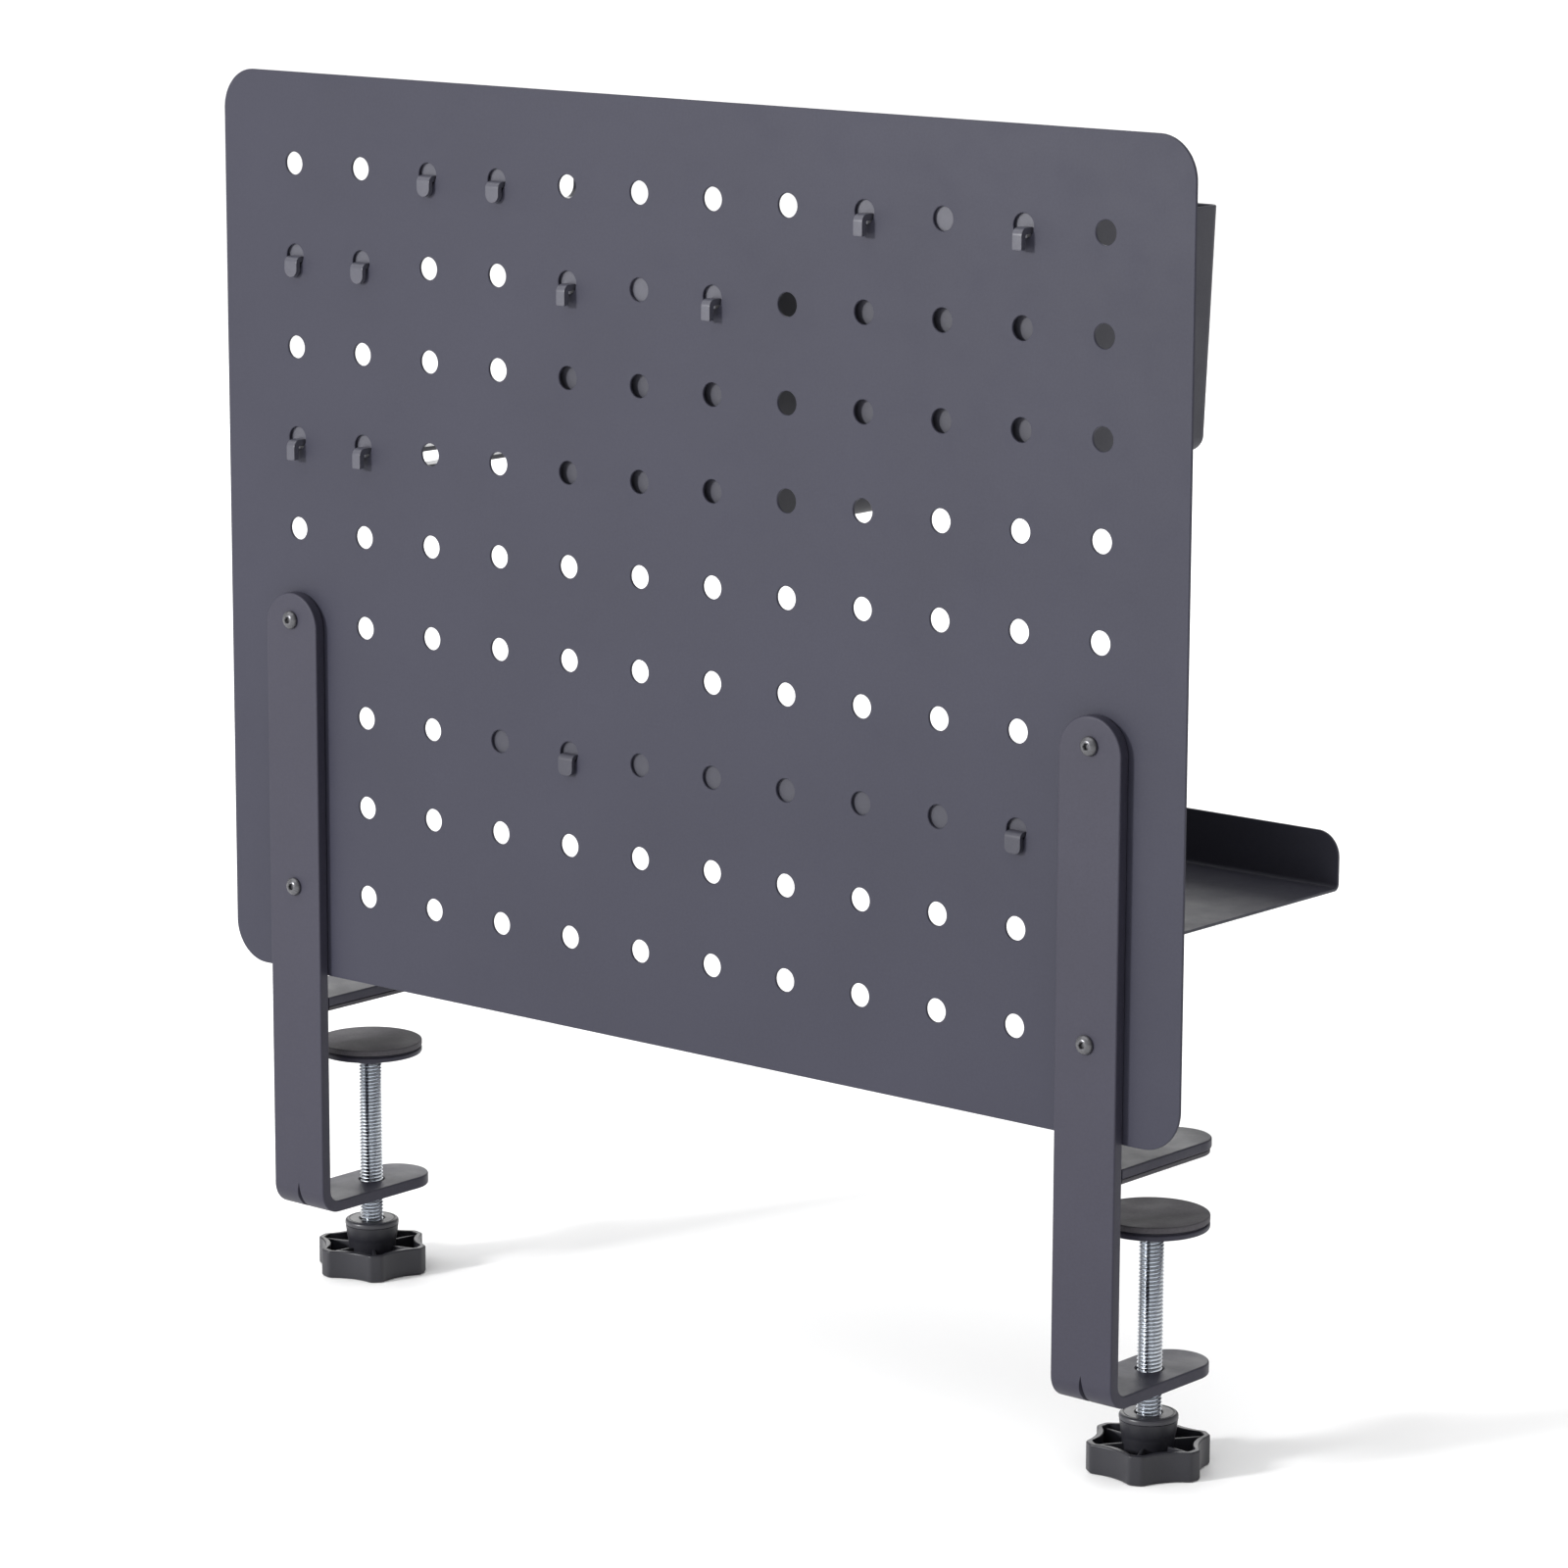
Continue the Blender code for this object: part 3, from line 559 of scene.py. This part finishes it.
def peg_panel():
    low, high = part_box("peg_panel")
    bm = bmesh.new()
    back = board_face(bm, low.y, low, high)
    front = board_face(bm, high.y, low, high)
    near = low.y + BOARD_EDGE
    far = high.y - BOARD_EDGE
    number = 0
    for row in range(ROWS):
        for column in range(COLUMNS):
            wall = hole_border(*hole_centre(column, row), HOLE_R)
            first = ring_of(bm, [(a, near, b) for a, b in wall])
            second = ring_of(bm, [(a, far, b) for a, b in wall])
            bridge(bm, back[0][number], first)
            bridge(bm, first, second)
            bridge(bm, second, front[0][number])
            number += 1
    outline = rounded_rectangle(low.x, high.x, low.z, high.z, BOARD_CORNER_R, 24)
    first = ring_of(bm, [(a, near, b) for a, b in outline])
    second = ring_of(bm, [(a, far, b) for a, b in outline])
    bridge(bm, back[1], first)
    bridge(bm, first, second)
    bridge(bm, second, front[1])
    piece("peg_panel", bm, [PANEL], sharp=28)


# Clamps

def dart(x, corner_y, corner_z):
    """The wedge pressed into the outside of the bar's bend."""
    outside = 2 * MM
    bm = bmesh.new()
    a, b, m, p, q = ring_of(bm, [
        (x, corner_y - 0.1 * MM, corner_z + DART_UP), (x, corner_y + DART_UP, corner_z - 0.1 * MM),
        (x, corner_y + DART_DEEP, corner_z + DART_DEEP),
        (x - DART_HALF_W, corner_y - outside, corner_z - outside),
        (x + DART_HALF_W, corner_y - outside, corner_z - outside)])
    for face in ((a, m, p), (a, q, m), (a, p, q), (b, p, m), (b, m, q), (b, q, p)):
        bm.faces.new(face)
    return bm


def clamp_bracket(side):
    low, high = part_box(f"clamp_bracket_{side}")
    x = (low.x + high.x) / 2
    width = high.x - low.x
    rod = middle(f"clamp_rod_{side}")
    thickness = -GAP - low.y
    middle_y = low.y + thickness / 2
    middle_z = low.z + thickness / 2
    drop = high.z - (middle_z + BEND_R)
    jaw = high.y - (middle_y + BEND_R)
    path = path_in_yz((middle_y, high.z), -math.pi / 2,
                      [("run", drop), ("turn", BEND_R, math.pi / 2), ("run", jaw)])
    bar = strip(x, width, thickness, path, width / 2, width / 2, BAR_EDGE, bend_steps=20, end_steps=24)
    steps = []
    for place in ("top", "bottom"):
        z = middle(f"bracket_screw_{side}_{place}").z
        bore = [(0, low.y - 5 * MM), (SCREW_HOLE_R, low.y - 5 * MM), (SCREW_HOLE_R, 5 * MM), (0, 5 * MM)]
        steps.append(("DIFFERENCE", turned_along_y(bore, x, z, 32)))
    top = low.z + thickness
    flare = 0.5 * MM
    bore = [(0, low.z - 2 * MM), (ROD_HOLE_R + 5 * flare, low.z - 2 * MM), (ROD_HOLE_R, low.z + flare),
            (ROD_HOLE_R, top - flare), (ROD_HOLE_R + 5 * flare, top + 2 * MM), (0, top + 2 * MM)]
    steps.append(("DIFFERENCE", turned(bore, x, rod.y, 64)))
    steps.append(("DIFFERENCE", dart(x, low.y, low.z)))
    piece(f"clamp_bracket_{side}", bar, [BAR], steps)


def flat_jaw(node, finish, edge):
    """A plate with a half-round end that stands out from the bar over the desk."""
    low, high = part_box(node)
    centre = (low + high) / 2
    width = high.x - low.x
    path = path_in_yz((low.y, centre.z), 0.0, [("run", high.y - low.y)])
    jaw = strip(centre.x, width, high.z - low.z, path, 0.0, width / 2, edge, end_steps=28)
    piece(node, jaw, [finish])


def bracket_screw(side, place):
    """Button-head screw with a domed head, a hexagonal socket and a chamfered tip."""
    node = f"bracket_screw_{side}_{place}"
    low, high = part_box(node)
    x, z = (low.x + high.x) / 2, (low.z + high.z) / 2
    head_r = (high.x - low.x) / 2
    seat = low.y + SCREW_HEAD_H
    chamfer = 0.4 * MM
    profile = [(0, high.y), (SCREW_SHANK_R - chamfer, high.y), (SCREW_SHANK_R, high.y - chamfer),
               (SCREW_SHANK_R, seat), (head_r - 0.15 * MM, seat), (head_r, seat - 0.15 * MM)]
    slope = math.radians(60)
    for k in range(9):
        fall = math.sin(slope * k / 8) / math.sin(slope)
        profile.append((head_r * math.cos(slope * k / 8), seat - 0.3 * MM - (SCREW_HEAD_H - 0.3 * MM) * fall))
    profile.append((0, low.y))
    flared_r = SOCKET_R + 0.3 * MM
    socket = [(0, low.y + SOCKET_DEEP), (SOCKET_R, low.y + SOCKET_DEEP), (SOCKET_R, low.y + 0.25 * MM),
              (flared_r, low.y - 0.05 * MM), (flared_r, low.y - 1 * MM), (0, low.y - 1 * MM)]
    screw = turned_along_y(profile, x, z, 64)
    piece(node, screw, [BLACK], [("DIFFERENCE", turned_along_y(socket, x, z, 6))])


def bracket_nut(side, place):
    """Hexagonal flange nut with chamfered corners."""
    node = f"bracket_nut_{side}_{place}"
    low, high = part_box(node)
    x, z = (low.x + high.x) / 2, (low.z + high.z) / 2
    flange_r = (high.x - low.x) / 2
    steps = 96

    def hexagon(y, limit):
        points = []
        for k in range(steps):
            angle = k / steps * math.tau
            off = (angle + math.pi / 6) % (math.pi / 3) - math.pi / 6
            r = min(NUT_HALF_ACROSS / math.cos(off), limit)
            points.append((x + r * math.cos(angle), y, z + r * math.sin(angle)))
        return points

    def level(y, r):
        return [(a, y, b) for a, b, _ in round_loop(x, z, 0, r, steps)]

    loops = [level(low.y, NUT_BORE_R), level(low.y, flange_r - 0.2 * MM), level(low.y + 0.2 * MM, flange_r),
             level(low.y + 0.6 * MM, flange_r), level(low.y + 0.9 * MM, flange_r - 0.4 * MM),
             level(low.y + 1.5 * MM, NUT_HALF_ACROSS + 0.9 * MM), hexagon(low.y + 1.6 * MM, 4.02 * MM),
             hexagon(high.y - 0.7 * MM, 4.02 * MM), hexagon(high.y - 0.2 * MM, 3.7 * MM),
             hexagon(high.y, 3.4 * MM), level(high.y, NUT_BORE_R + 0.3 * MM),
             level(high.y - 0.3 * MM, NUT_BORE_R)]
    bm = bmesh.new()
    rings = [ring_of(bm, loop) for loop in loops]
    for first, second in zip(rings, rings[1:] + rings[:1]):
        bridge(bm, first, second)
    piece(node, bm, [BLACK])


def mark_thread(made, x, y):
    """Stores how deep in the thread each point of the rod lies, for the painted shade in the thread roots."""
    marks = made.data.attributes.new("thread_depth", "FLOAT", "POINT")
    for index, vert in enumerate(made.data.vertices):
        off = math.hypot(vert.co.x - x, vert.co.y - y)
        marks.data[index].value = min(max((ROD_R - off) / THREAD_DEPTH, 0.0), 1.0)


def pad_ball(side):
    node = f"pad_ball_{side}"
    low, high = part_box(node)
    centre = (low + high) / 2
    ball_z = high.z - BALL_R
    bore_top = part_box(f"clamp_rod_{side}")[1].z + GAP
    sweep = math.pi - math.asin(BALL_BORE_R / BALL_R)
    angles = [math.pi / 2 - sweep * k / 24 for k in range(25)]
    profile = [(BALL_R * math.cos(a), ball_z + BALL_R * math.sin(a)) for a in angles]
    profile += [(BALL_BORE_R, bore_top), (0, bore_top)]
    piece(node, turned(profile, centre.x, centre.y, 48), [ZINC])


def pressure_pad(side):
    """Rubber facing with a soft edge, on a steel disc with a rolled rim and a cone down to the rod."""
    low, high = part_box(f"pad_facing_{side}")
    x, y = (low.x + high.x) / 2, (low.y + high.y) / 2
    r = (high.x - low.x) / 2
    rounding = [k / 4 * math.pi / 2 for k in range(5)]
    profile = [(0, high.z)]
    profile += [(r - FACING_EDGE * (1 - math.sin(a)), high.z - FACING_EDGE * (1 - math.cos(a)))
                for a in rounding]
    profile += [(r - PAD_EDGE * (1 - math.cos(a)), low.z + PAD_EDGE * (1 - math.sin(a))) for a in rounding]
    profile += [(0, low.z)]
    piece(f"pad_facing_{side}", turned(profile, x, y, 128), [RUBBER])
    low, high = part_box(f"pad_disc_{side}")
    rim_bottom = high.z - PAD_RIM_H
    profile = [(0, high.z), (r - 1.1 * MM, high.z), (r - 0.9 * MM, high.z - 0.15 * MM),
               (r - 0.9 * MM, high.z - 0.45 * MM), (r - 0.35 * MM, high.z - 0.6 * MM), (r, high.z - 1.0 * MM),
               (r, rim_bottom + 0.7 * MM), (r - 0.25 * MM, rim_bottom + 0.2 * MM),
               (r - 0.8 * MM, rim_bottom), (0.9 * r, rim_bottom), (0.87 * r, rim_bottom + 0.3 * MM),
               (0.84 * r, rim_bottom + 0.1 * MM), (0.80 * r, rim_bottom - 0.35 * MM),
               (12.5 * MM, rim_bottom - 1.2 * MM), (10.4 * MM, rim_bottom - 2.0 * MM),
               (8.2 * MM, rim_bottom - 3.3 * MM), (ROD_R + 2.4 * MM, low.z + 0.3 * MM),
               (ROD_R + 2.1 * MM, low.z), (ROD_R + 1 * MM, low.z), (ROD_R + 0.7 * MM, low.z + 1.1 * MM),
               (PAD_BORE_R, low.z + 1.9 * MM), (PAD_BORE_R, high.z - 0.6 * MM), (0, high.z - 0.6 * MM)]
    piece(f"pad_disc_{side}", turned(profile, x, y, 128), [BAR])


def clamp_rod(side):
    """Rod with a real rolled thread, chamfered at both ends, and a spigot for the ball."""
    node = f"clamp_rod_{side}"
    low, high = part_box(node)
    x, y = (low.x + high.x) / 2, (low.y + high.y) / 2
    top = high.z - SPIGOT_L
    bottom = low.z
    core = ROD_R - 1.05 * MM
    wave = []
    for i in range(THREAD_ROWS):
        share = 0.5 - 0.5 * math.cos(i / THREAD_ROWS * math.tau)
        wave.append(ROD_R - THREAD_DEPTH * (share ** 0.8 if share else 0.0))
    turns = math.ceil((top - bottom) / THREAD_PITCH) + 4
    bm = bmesh.new()
    rows = []
    for i in range(turns * THREAD_ROWS):
        row = []
        for j in range(THREAD_COLUMNS):
            z = bottom - 2 * THREAD_PITCH + THREAD_PITCH * (i / THREAD_ROWS + j / THREAD_COLUMNS)
            r = min(wave[i % THREAD_ROWS], core + max(top - z, 0), core + max(z - bottom, 0))
            angle = j / THREAD_COLUMNS * math.tau
            point = (x + r * math.cos(angle), y + r * math.sin(angle), min(max(z, bottom), top))
            row.append(bm.verts.new(point))
        rows.append(row)
    for i in range(len(rows) - 1):
        for j in range(THREAD_COLUMNS - 1):
            bm.faces.new((rows[i][j], rows[i][j + 1], rows[i + 1][j + 1], rows[i + 1][j]))
        if i + THREAD_ROWS + 1 < len(rows):
            bm.faces.new((rows[i][-1], rows[i + THREAD_ROWS][0], rows[i + THREAD_ROWS + 1][0],
                          rows[i + 1][-1]))
    bmesh.ops.remove_doubles(bm, verts=bm.verts, dist=MERGE)
    bmesh.ops.dissolve_degenerate(bm, dist=MERGE, edges=bm.edges)
    loose = [edge for edge in bm.edges if len(edge.link_faces) == 1]
    bmesh.ops.holes_fill(bm, edges=loose, sides=0)
    spigot = [(0, top - 2 * MM), (SPIGOT_R, top - 2 * MM), (SPIGOT_R, high.z - 0.3 * MM),
              (SPIGOT_R - 0.3 * MM, high.z), (0, high.z)]
    made = piece(node, bm, [ZINC], [("UNION", turned(spigot, x, y, 32))], sharp=60)
    mark_thread(made, x, y)


# Knob

def knob_radius(angle):
    """A disc with six shallow scallops between blunt lobes."""
    sector = math.tau / KNOB_LOBES
    off = (angle % sector) - sector / 2
    centre = KNOB_WAIST_R + KNOB_SCALLOP_R
    reach = KNOB_SCALLOP_R ** 2 - (centre * math.sin(off)) ** 2
    scallop = centre * math.cos(off) - math.sqrt(reach) if reach > 0 else KNOB_R
    return min(KNOB_R, scallop)


def knob_outline():
    """The knob's radius at each step, with the corners of the lobes softened."""
    radii = []
    for k in range(KNOB_STEPS):
        angle = k / KNOB_STEPS * math.tau
        near = [knob_radius(angle + math.radians(0.7) * n) for n in range(-2, 3)]
        radii.append(sum(near) / len(near))
    return radii


def clamp_knob(side):
    node = f"clamp_knob_{side}"
    low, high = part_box(node)
    axis = middle(f"clamp_rod_{side}")
    rod_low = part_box(f"clamp_rod_{side}")[0].z
    outline = knob_outline()
    bottom, top = low.z, high.z
    skirt = top - KNOB_HUB_H
    floor = bottom + KNOB_FLOOR_T
    bore = ROD_R + GAP
    turned_by = KNOB_TURNED[side]

    def lobed(z, inset):
        points = []
        for k, r in enumerate(outline):
            angle = k / KNOB_STEPS * math.tau + turned_by
            points.append((axis.x + (r - inset) * math.cos(angle), axis.y + (r - inset) * math.sin(angle), z))
        return points

    def ring(z, radius):
        points = []
        for k in range(KNOB_STEPS):
            angle = k / KNOB_STEPS * math.tau + turned_by
            points.append((axis.x + radius * math.cos(angle), axis.y + radius * math.sin(angle), z))
        return points

    loops = [ring(bottom + 0.8 * MM, 6 * MM), ring(bottom + 0.8 * MM, 13 * MM), ring(bottom, 14 * MM)]
    for k in range(4):
        a = k / 3 * math.pi / 2
        loops.append(lobed(bottom + 1.1 * MM * (1 - math.cos(a)), 1.1 * MM * (1 - math.sin(a))))
    for k in range(4):
        a = k / 3 * math.pi / 2
        loops.append(lobed(skirt - 0.7 * MM * (1 - math.sin(a)), 0.7 * MM * (1 - math.cos(a))))
    loops += [lobed(skirt, KNOB_WALL - 0.3 * MM), lobed(skirt - 0.3 * MM, KNOB_WALL),
              lobed(floor + 1 * MM, KNOB_WALL + 0.2 * MM), lobed(floor, KNOB_WALL + 1.1 * MM),
              ring(floor, KNOB_HUB_FOOT_R + 0.7 * MM), ring(floor + 0.7 * MM, KNOB_HUB_FOOT_R),
              ring(skirt + 1 * MM, KNOB_HUB_FOOT_R + 0.35 * MM)]
    for k in range(1, 7):
        share = k / 6
        loops.append(ring(skirt + 1 * MM + (KNOB_HUB_H - 3.6 * MM) * share,
                          KNOB_HUB_FOOT_R + 0.35 * MM + 1.1 * MM * share ** 0.7))
    loops += [ring(top - 2.45 * MM, KNOB_HUB_R - 0.35 * MM), ring(top - 2.2 * MM, KNOB_HUB_R - 0.02 * MM)]
    for k in range(5):
        a = k / 4 * math.pi / 2
        loops.append(ring(top - 1.2 * MM * (1 - math.sin(a)), KNOB_HUB_R - 1.2 * MM * (1 - math.cos(a))))
    loops += [ring(top, KNOB_HUB_R - 1.45 * MM), ring(top - 0.25 * MM, KNOB_HUB_R - 1.6 * MM),
              ring(top - 0.25 * MM, KNOB_HUB_R - 1.85 * MM), ring(top - 0.05 * MM, KNOB_HUB_R - 2.05 * MM),
              ring(top - 0.05 * MM, bore + 0.5 * MM), ring(top - 0.5 * MM, bore),
              ring(rod_low - GAP, bore), ring(rod_low - GAP, 1 * MM)]
    ribs = bmesh.new()
    rib_top = skirt - 1.2 * MM
    for k in range(KNOB_LOBES):
        angle = k * math.tau / KNOB_LOBES + turned_by
        out = Vector((math.cos(angle), math.sin(angle), 0))
        aside = Vector((-out.y, out.x, 0))
        near = Vector((axis.x, axis.y, 0)) + out * (KNOB_HUB_FOOT_R - 1.5 * MM)
        far = Vector((axis.x, axis.y, 0)) + out * (KNOB_R - KNOB_WALL / 2)
        levels = []
        for z, half in ((floor - 1 * MM, 0.62 * RIB_T), (rib_top - 0.35 * MM, 0.46 * RIB_T),
                        (rib_top - 0.1 * MM, 0.36 * RIB_T), (rib_top, 0.2 * RIB_T)):
            corners = (near - aside * half, far - aside * half, far + aside * half, near + aside * half)
            levels.append([(p.x, p.y, z) for p in corners])
        lofted(levels, ribs)

    def cap_or_body(centre):
        off = math.hypot(centre.x - axis.x, centre.y - axis.y)
        return 1 if centre.z > top - 2.4 * MM and off < KNOB_HUB_R + 0.1 * MM else 0

    piece(node, lofted(loops), [MOULDED, GLOSSY], [("UNION", ribs)], sharp=38, choose=cap_or_body)


# Accessories

def tongue(column, row, shape, plate_t=PLATE_T):
    """Bent tab that passes back through a hole of the board and hooks down behind it."""
    x, z = hole_centre(column, row)
    thick = shape["thick"]
    half_chord = shape["width"] / 2 + shape["aside"]
    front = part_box("peg_panel")[1].y + GAP
    flat_r = HOLE_R * math.cos(math.pi / PACKED_HOLE_SIDES)
    under = -math.sqrt(flat_r ** 2 - half_chord ** 2) + GAP
    middle_z = z + under + thick / 2
    middle_y = -shape["reach"] + thick / 2
    bend_r = thick / 2 + 0.4 * MM
    start_y = front + plate_t / 2
    moves = [("run", start_y - middle_y - bend_r), ("turn", bend_r, math.pi / 2),
             ("run", middle_z - bend_r - (z - TONGUE_END))]
    path = path_in_yz((start_y, middle_z), math.pi, moves)
    return strip(x + shape["aside"], shape["width"], thick, path, 0.0, shape["end_r"], 0.3 * MM, 10, 10, 2)


def cup_loop(side, z, inset, rim_z, height):
    low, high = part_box(f"pen_cup_{side}")
    share = (z - rim_z) / height
    front = high.y + CUP_LEAN * share
    radius = max(CUP_CORNER_R - inset, 1 * MM)
    outline = rounded_rectangle(low.x + inset, high.x - inset, low.y + inset, front - inset, radius, 8)
    return [(px, py, z) for px, py in outline]


def pen_cup(side):
    """Open box with a round-edged foot and a rounded rim, and the hanger behind it."""
    low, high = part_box(f"pen_cup_{side}")
    height = high.z - low.z
    foot, rim = low.z, high.z
    quarter = [k / 8 * math.pi / 2 for k in range(9)]
    levels = [(foot + CUP_FOOT_R * (1 - math.sin(a)), CUP_FOOT_R * (1 - math.cos(a)))
              for a in reversed(quarter)]
    half = CUP_WALL / 2
    levels += [(rim - half + half * math.sin(a), half - half * math.cos(a)) for a in quarter[::2]]
    levels += [(rim - half + half * math.cos(a), half + half * math.sin(a)) for a in quarter[2::2]]
    inner_r = CUP_FOOT_R - CUP_WALL
    levels += [(foot + CUP_WALL + inner_r * (1 - math.sin(a)), CUP_WALL + inner_r * (1 - math.cos(a)))
               for a in quarter]
    loops = [cup_loop(side, z, inset, rim, height) for z, inset in levels]
    piece(f"pen_cup_{side}", lofted(loops), [CUP], sharp=36)
    node = f"cup_hanger_{side}"
    low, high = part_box(node)
    left, right, row = CUPS[side]
    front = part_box("peg_panel")[1].y + GAP
    steps = [("UNION", tongue(column, row, SQUARE_TONGUE)) for column in (left, right)]
    piece(node, plate(low.x, high.x, low.z, high.z, HANGER_CORNER_R, front, front + PLATE_T, PLATE_EDGE),
          [HANGER], steps)


def shelf_tray():
    """Long tray bent from one sheet: back, floor and front lip, open at both ends."""
    low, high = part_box("shelf_tray")
    x = (low.x + high.x) / 2
    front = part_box("peg_panel")[1].y + GAP
    back_y = front + TRAY_T / 2
    floor_z = low.z + TRAY_T / 2
    front_y = high.y - TRAY_T / 2
    r = TRAY_BEND_R
    lip_z = low.z + TRAY_LIP_H
    moves = [("run", high.z - floor_z - r), ("turn", r, math.pi / 2), ("run", front_y - back_y - 2 * r),
             ("turn", r, math.pi / 2), ("run", lip_z - floor_z - r)]
    path = path_in_yz((back_y, high.z), -math.pi / 2, moves)
    body = strip(x, high.x - low.x, TRAY_T, path, TRAY_BACK_CORNER_R, TRAY_LIP_CORNER_R, 0.25 * MM, 12, 20, 2)
    left, right, row = TRAY_HOLES
    steps = [("UNION", tongue(column, row, TRAY_TONGUE, TRAY_T)) for column in (left, right)]
    piece("shelf_tray", body, [TRAY], steps)


def hook_arm(x, z, reach, tip_z):
    start_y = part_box("peg_panel")[1].y + GAP + PLATE_T / 2
    out = reach - HOOK_T / 2 - HOOK_BEND_R - start_y
    up = tip_z - (z + HOOK_BEND_R)
    path = path_in_yz((start_y, z), 0.0, [("run", out), ("turn", HOOK_BEND_R, math.pi / 2), ("run", up)])
    return strip(x, HOOK_W, HOOK_T, path, 0.0, HOOK_W / 2, 0.35 * MM, 16, 16, 2)


def double_hook(node, columns, row, shape, plate_high, arm_z, tip_z):
    """Plate with a tongue and a prong at each of two neighbouring columns."""
    low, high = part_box(node)
    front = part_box("peg_panel")[1].y + GAP
    steps = []
    for column in columns:
        x, z = hole_centre(column, row)
        steps.append(("UNION", tongue(column, row, shape)))
        steps.append(("UNION", hook_arm(x, z + arm_z, high.y, z + tip_z)))
    body = plate(low.x, high.x, low.z, z + plate_high, HOOK_CORNER_R, front, front + PLATE_T, PLATE_EDGE)
    piece(node, body, [HANGER], steps)


# Stage

def floor_material():
    made = bpy.data.materials.new("floor_sweep")
    made.use_nodes = True
    tree = made.node_tree
    shader = tree.nodes["Principled BSDF"]
    place = add_node(tree, "ShaderNodeTexCoord").outputs["Object"]
    shade = uneven(tree, noise(tree, place, 3, 2), 0.955, 0.975)
    tint = add_node(tree, "ShaderNodeCombineColor")
    for channel in range(3):
        tree.links.new(shade, tint.inputs[channel])
    tree.links.new(tint.outputs[0], shader.inputs["Base Color"])
    shader.inputs["Roughness"].default_value = 0.9
    shader.inputs["Specular IOR Level"].default_value = 0.2
    return made


def floor():
    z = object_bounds()[0][2] - FLOOR_DROP
    far = FLOOR_HALF
    bm = bmesh.new()
    bm.faces.new(ring_of(bm, [(-far, -far, z), (far, -far, z), (far, far, z), (-far, far, z)]))
    made = plain_object("floor", bm)
    made.data.materials.append(floor_material())
    made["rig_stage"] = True


def world():
    """Soft white surroundings with one dark arch, brighter on the board's back side and to its left."""
    made = bpy.data.worlds.new("studio")
    bpy.context.scene.world = made
    made.use_nodes = True
    tree = made.node_tree
    place = add_node(tree, "ShaderNodeTexCoord").outputs["Generated"]
    towards = add_node(tree, "ShaderNodeVectorMath", operation="DOT_PRODUCT")
    towards.inputs[1].default_value = Vector(BRIGHTEST).normalized()
    tree.links.new(place, towards.inputs[0])
    strength = ranged(tree, towards.outputs["Value"], -0.7, 0.9, 0.56, 0.82)
    across = add_node(tree, "ShaderNodeVectorMath", operation="DOT_PRODUCT")
    across.inputs[1].default_value = ARCH_NORMAL
    tree.links.new(place, across.inputs[0])
    size = add_node(tree, "ShaderNodeMath", operation="ABSOLUTE")
    tree.links.new(across.outputs["Value"], size.inputs[0])
    strength = times(tree, strength, ranged(tree, size.outputs[0], 0.03, 0.13, 0.22, 1.0))
    background = tree.nodes["Background"]
    background.inputs["Color"].default_value = (1.0, 1.0, 1.0, 1.0)
    tree.links.new(strength, background.inputs["Strength"])


def aim(obj, target):
    obj.rotation_mode = "QUATERNION"
    obj.rotation_quaternion = (Vector(target) - obj.location).to_track_quat("-Z", "Y")


def softbox(name, size, power, place, target):
    light = bpy.data.lights.new(name, "AREA")
    light.shape = "SQUARE"
    light.size = size
    light.energy = power
    made = bpy.data.objects.new(name, light)
    bpy.context.scene.collection.objects.link(made)
    made.location = place
    aim(made, target)


def lights():
    """A wide overhead light, a softbox on the board's back side and a larger one behind the board."""
    sun = bpy.data.lights.new("overhead", "SUN")
    sun.energy = SUN_POWER
    sun.angle = SUN_ANGLE
    overhead = bpy.data.objects.new("overhead", sun)
    bpy.context.scene.collection.objects.link(overhead)
    overhead.location = SUN_PLACE
    aim(overhead, SUN_TARGET)
    for name, (size, power, place, target) in SOFTBOXES.items():
        softbox(name, size, power, place, target)


def camera():
    azimuth, elevation, roll = (math.radians(angle) for angle in (AZIMUTH, ELEVATION, ROLL))
    forward = Vector((-math.sin(azimuth) * math.cos(elevation), math.cos(azimuth) * math.cos(elevation),
                      -math.sin(elevation)))
    lens = bpy.data.cameras.new("camera")
    lens.lens = LENS
    lens.sensor_width = 36
    made = bpy.data.objects.new("camera", lens)
    bpy.context.scene.collection.objects.link(made)
    made.location = Vector(TARGET) - forward * DISTANCE
    made.rotation_mode = "QUATERNION"
    made.rotation_quaternion = forward.to_track_quat("-Z", "Y") @ Quaternion((0, 0, 1), roll)
    bpy.context.scene.camera = made


peg_panel()
for side in SIDES:
    clamp_bracket(side)
    flat_jaw(f"upper_jaw_{side}", BAR, BAR_EDGE)
    flat_jaw(f"jaw_pad_{side}", RUBBER, 0.3 * MM)
    for place in ("top", "bottom"):
        bracket_screw(side, place)
        bracket_nut(side, place)
    pad_ball(side)
    pressure_pad(side)
    clamp_rod(side)
    clamp_knob(side)
    pen_cup(side)
shelf_tray()
double_hook("hook_long", (2, 3), 0, ROUND_TONGUE, 7 * MM, -11 * MM, 3.5 * MM)
double_hook("hook_short", (0, 1), 1, ROUND_TONGUE, 7 * MM, -11 * MM, 3.5 * MM)
double_hook("hook_deep", (0, 1), 3, SQUARE_TONGUE, 9 * MM, -12 * MM, 3 * MM)

floor()
world()
lights()
camera()
bpy.context.scene.view_settings.view_transform = "Standard"
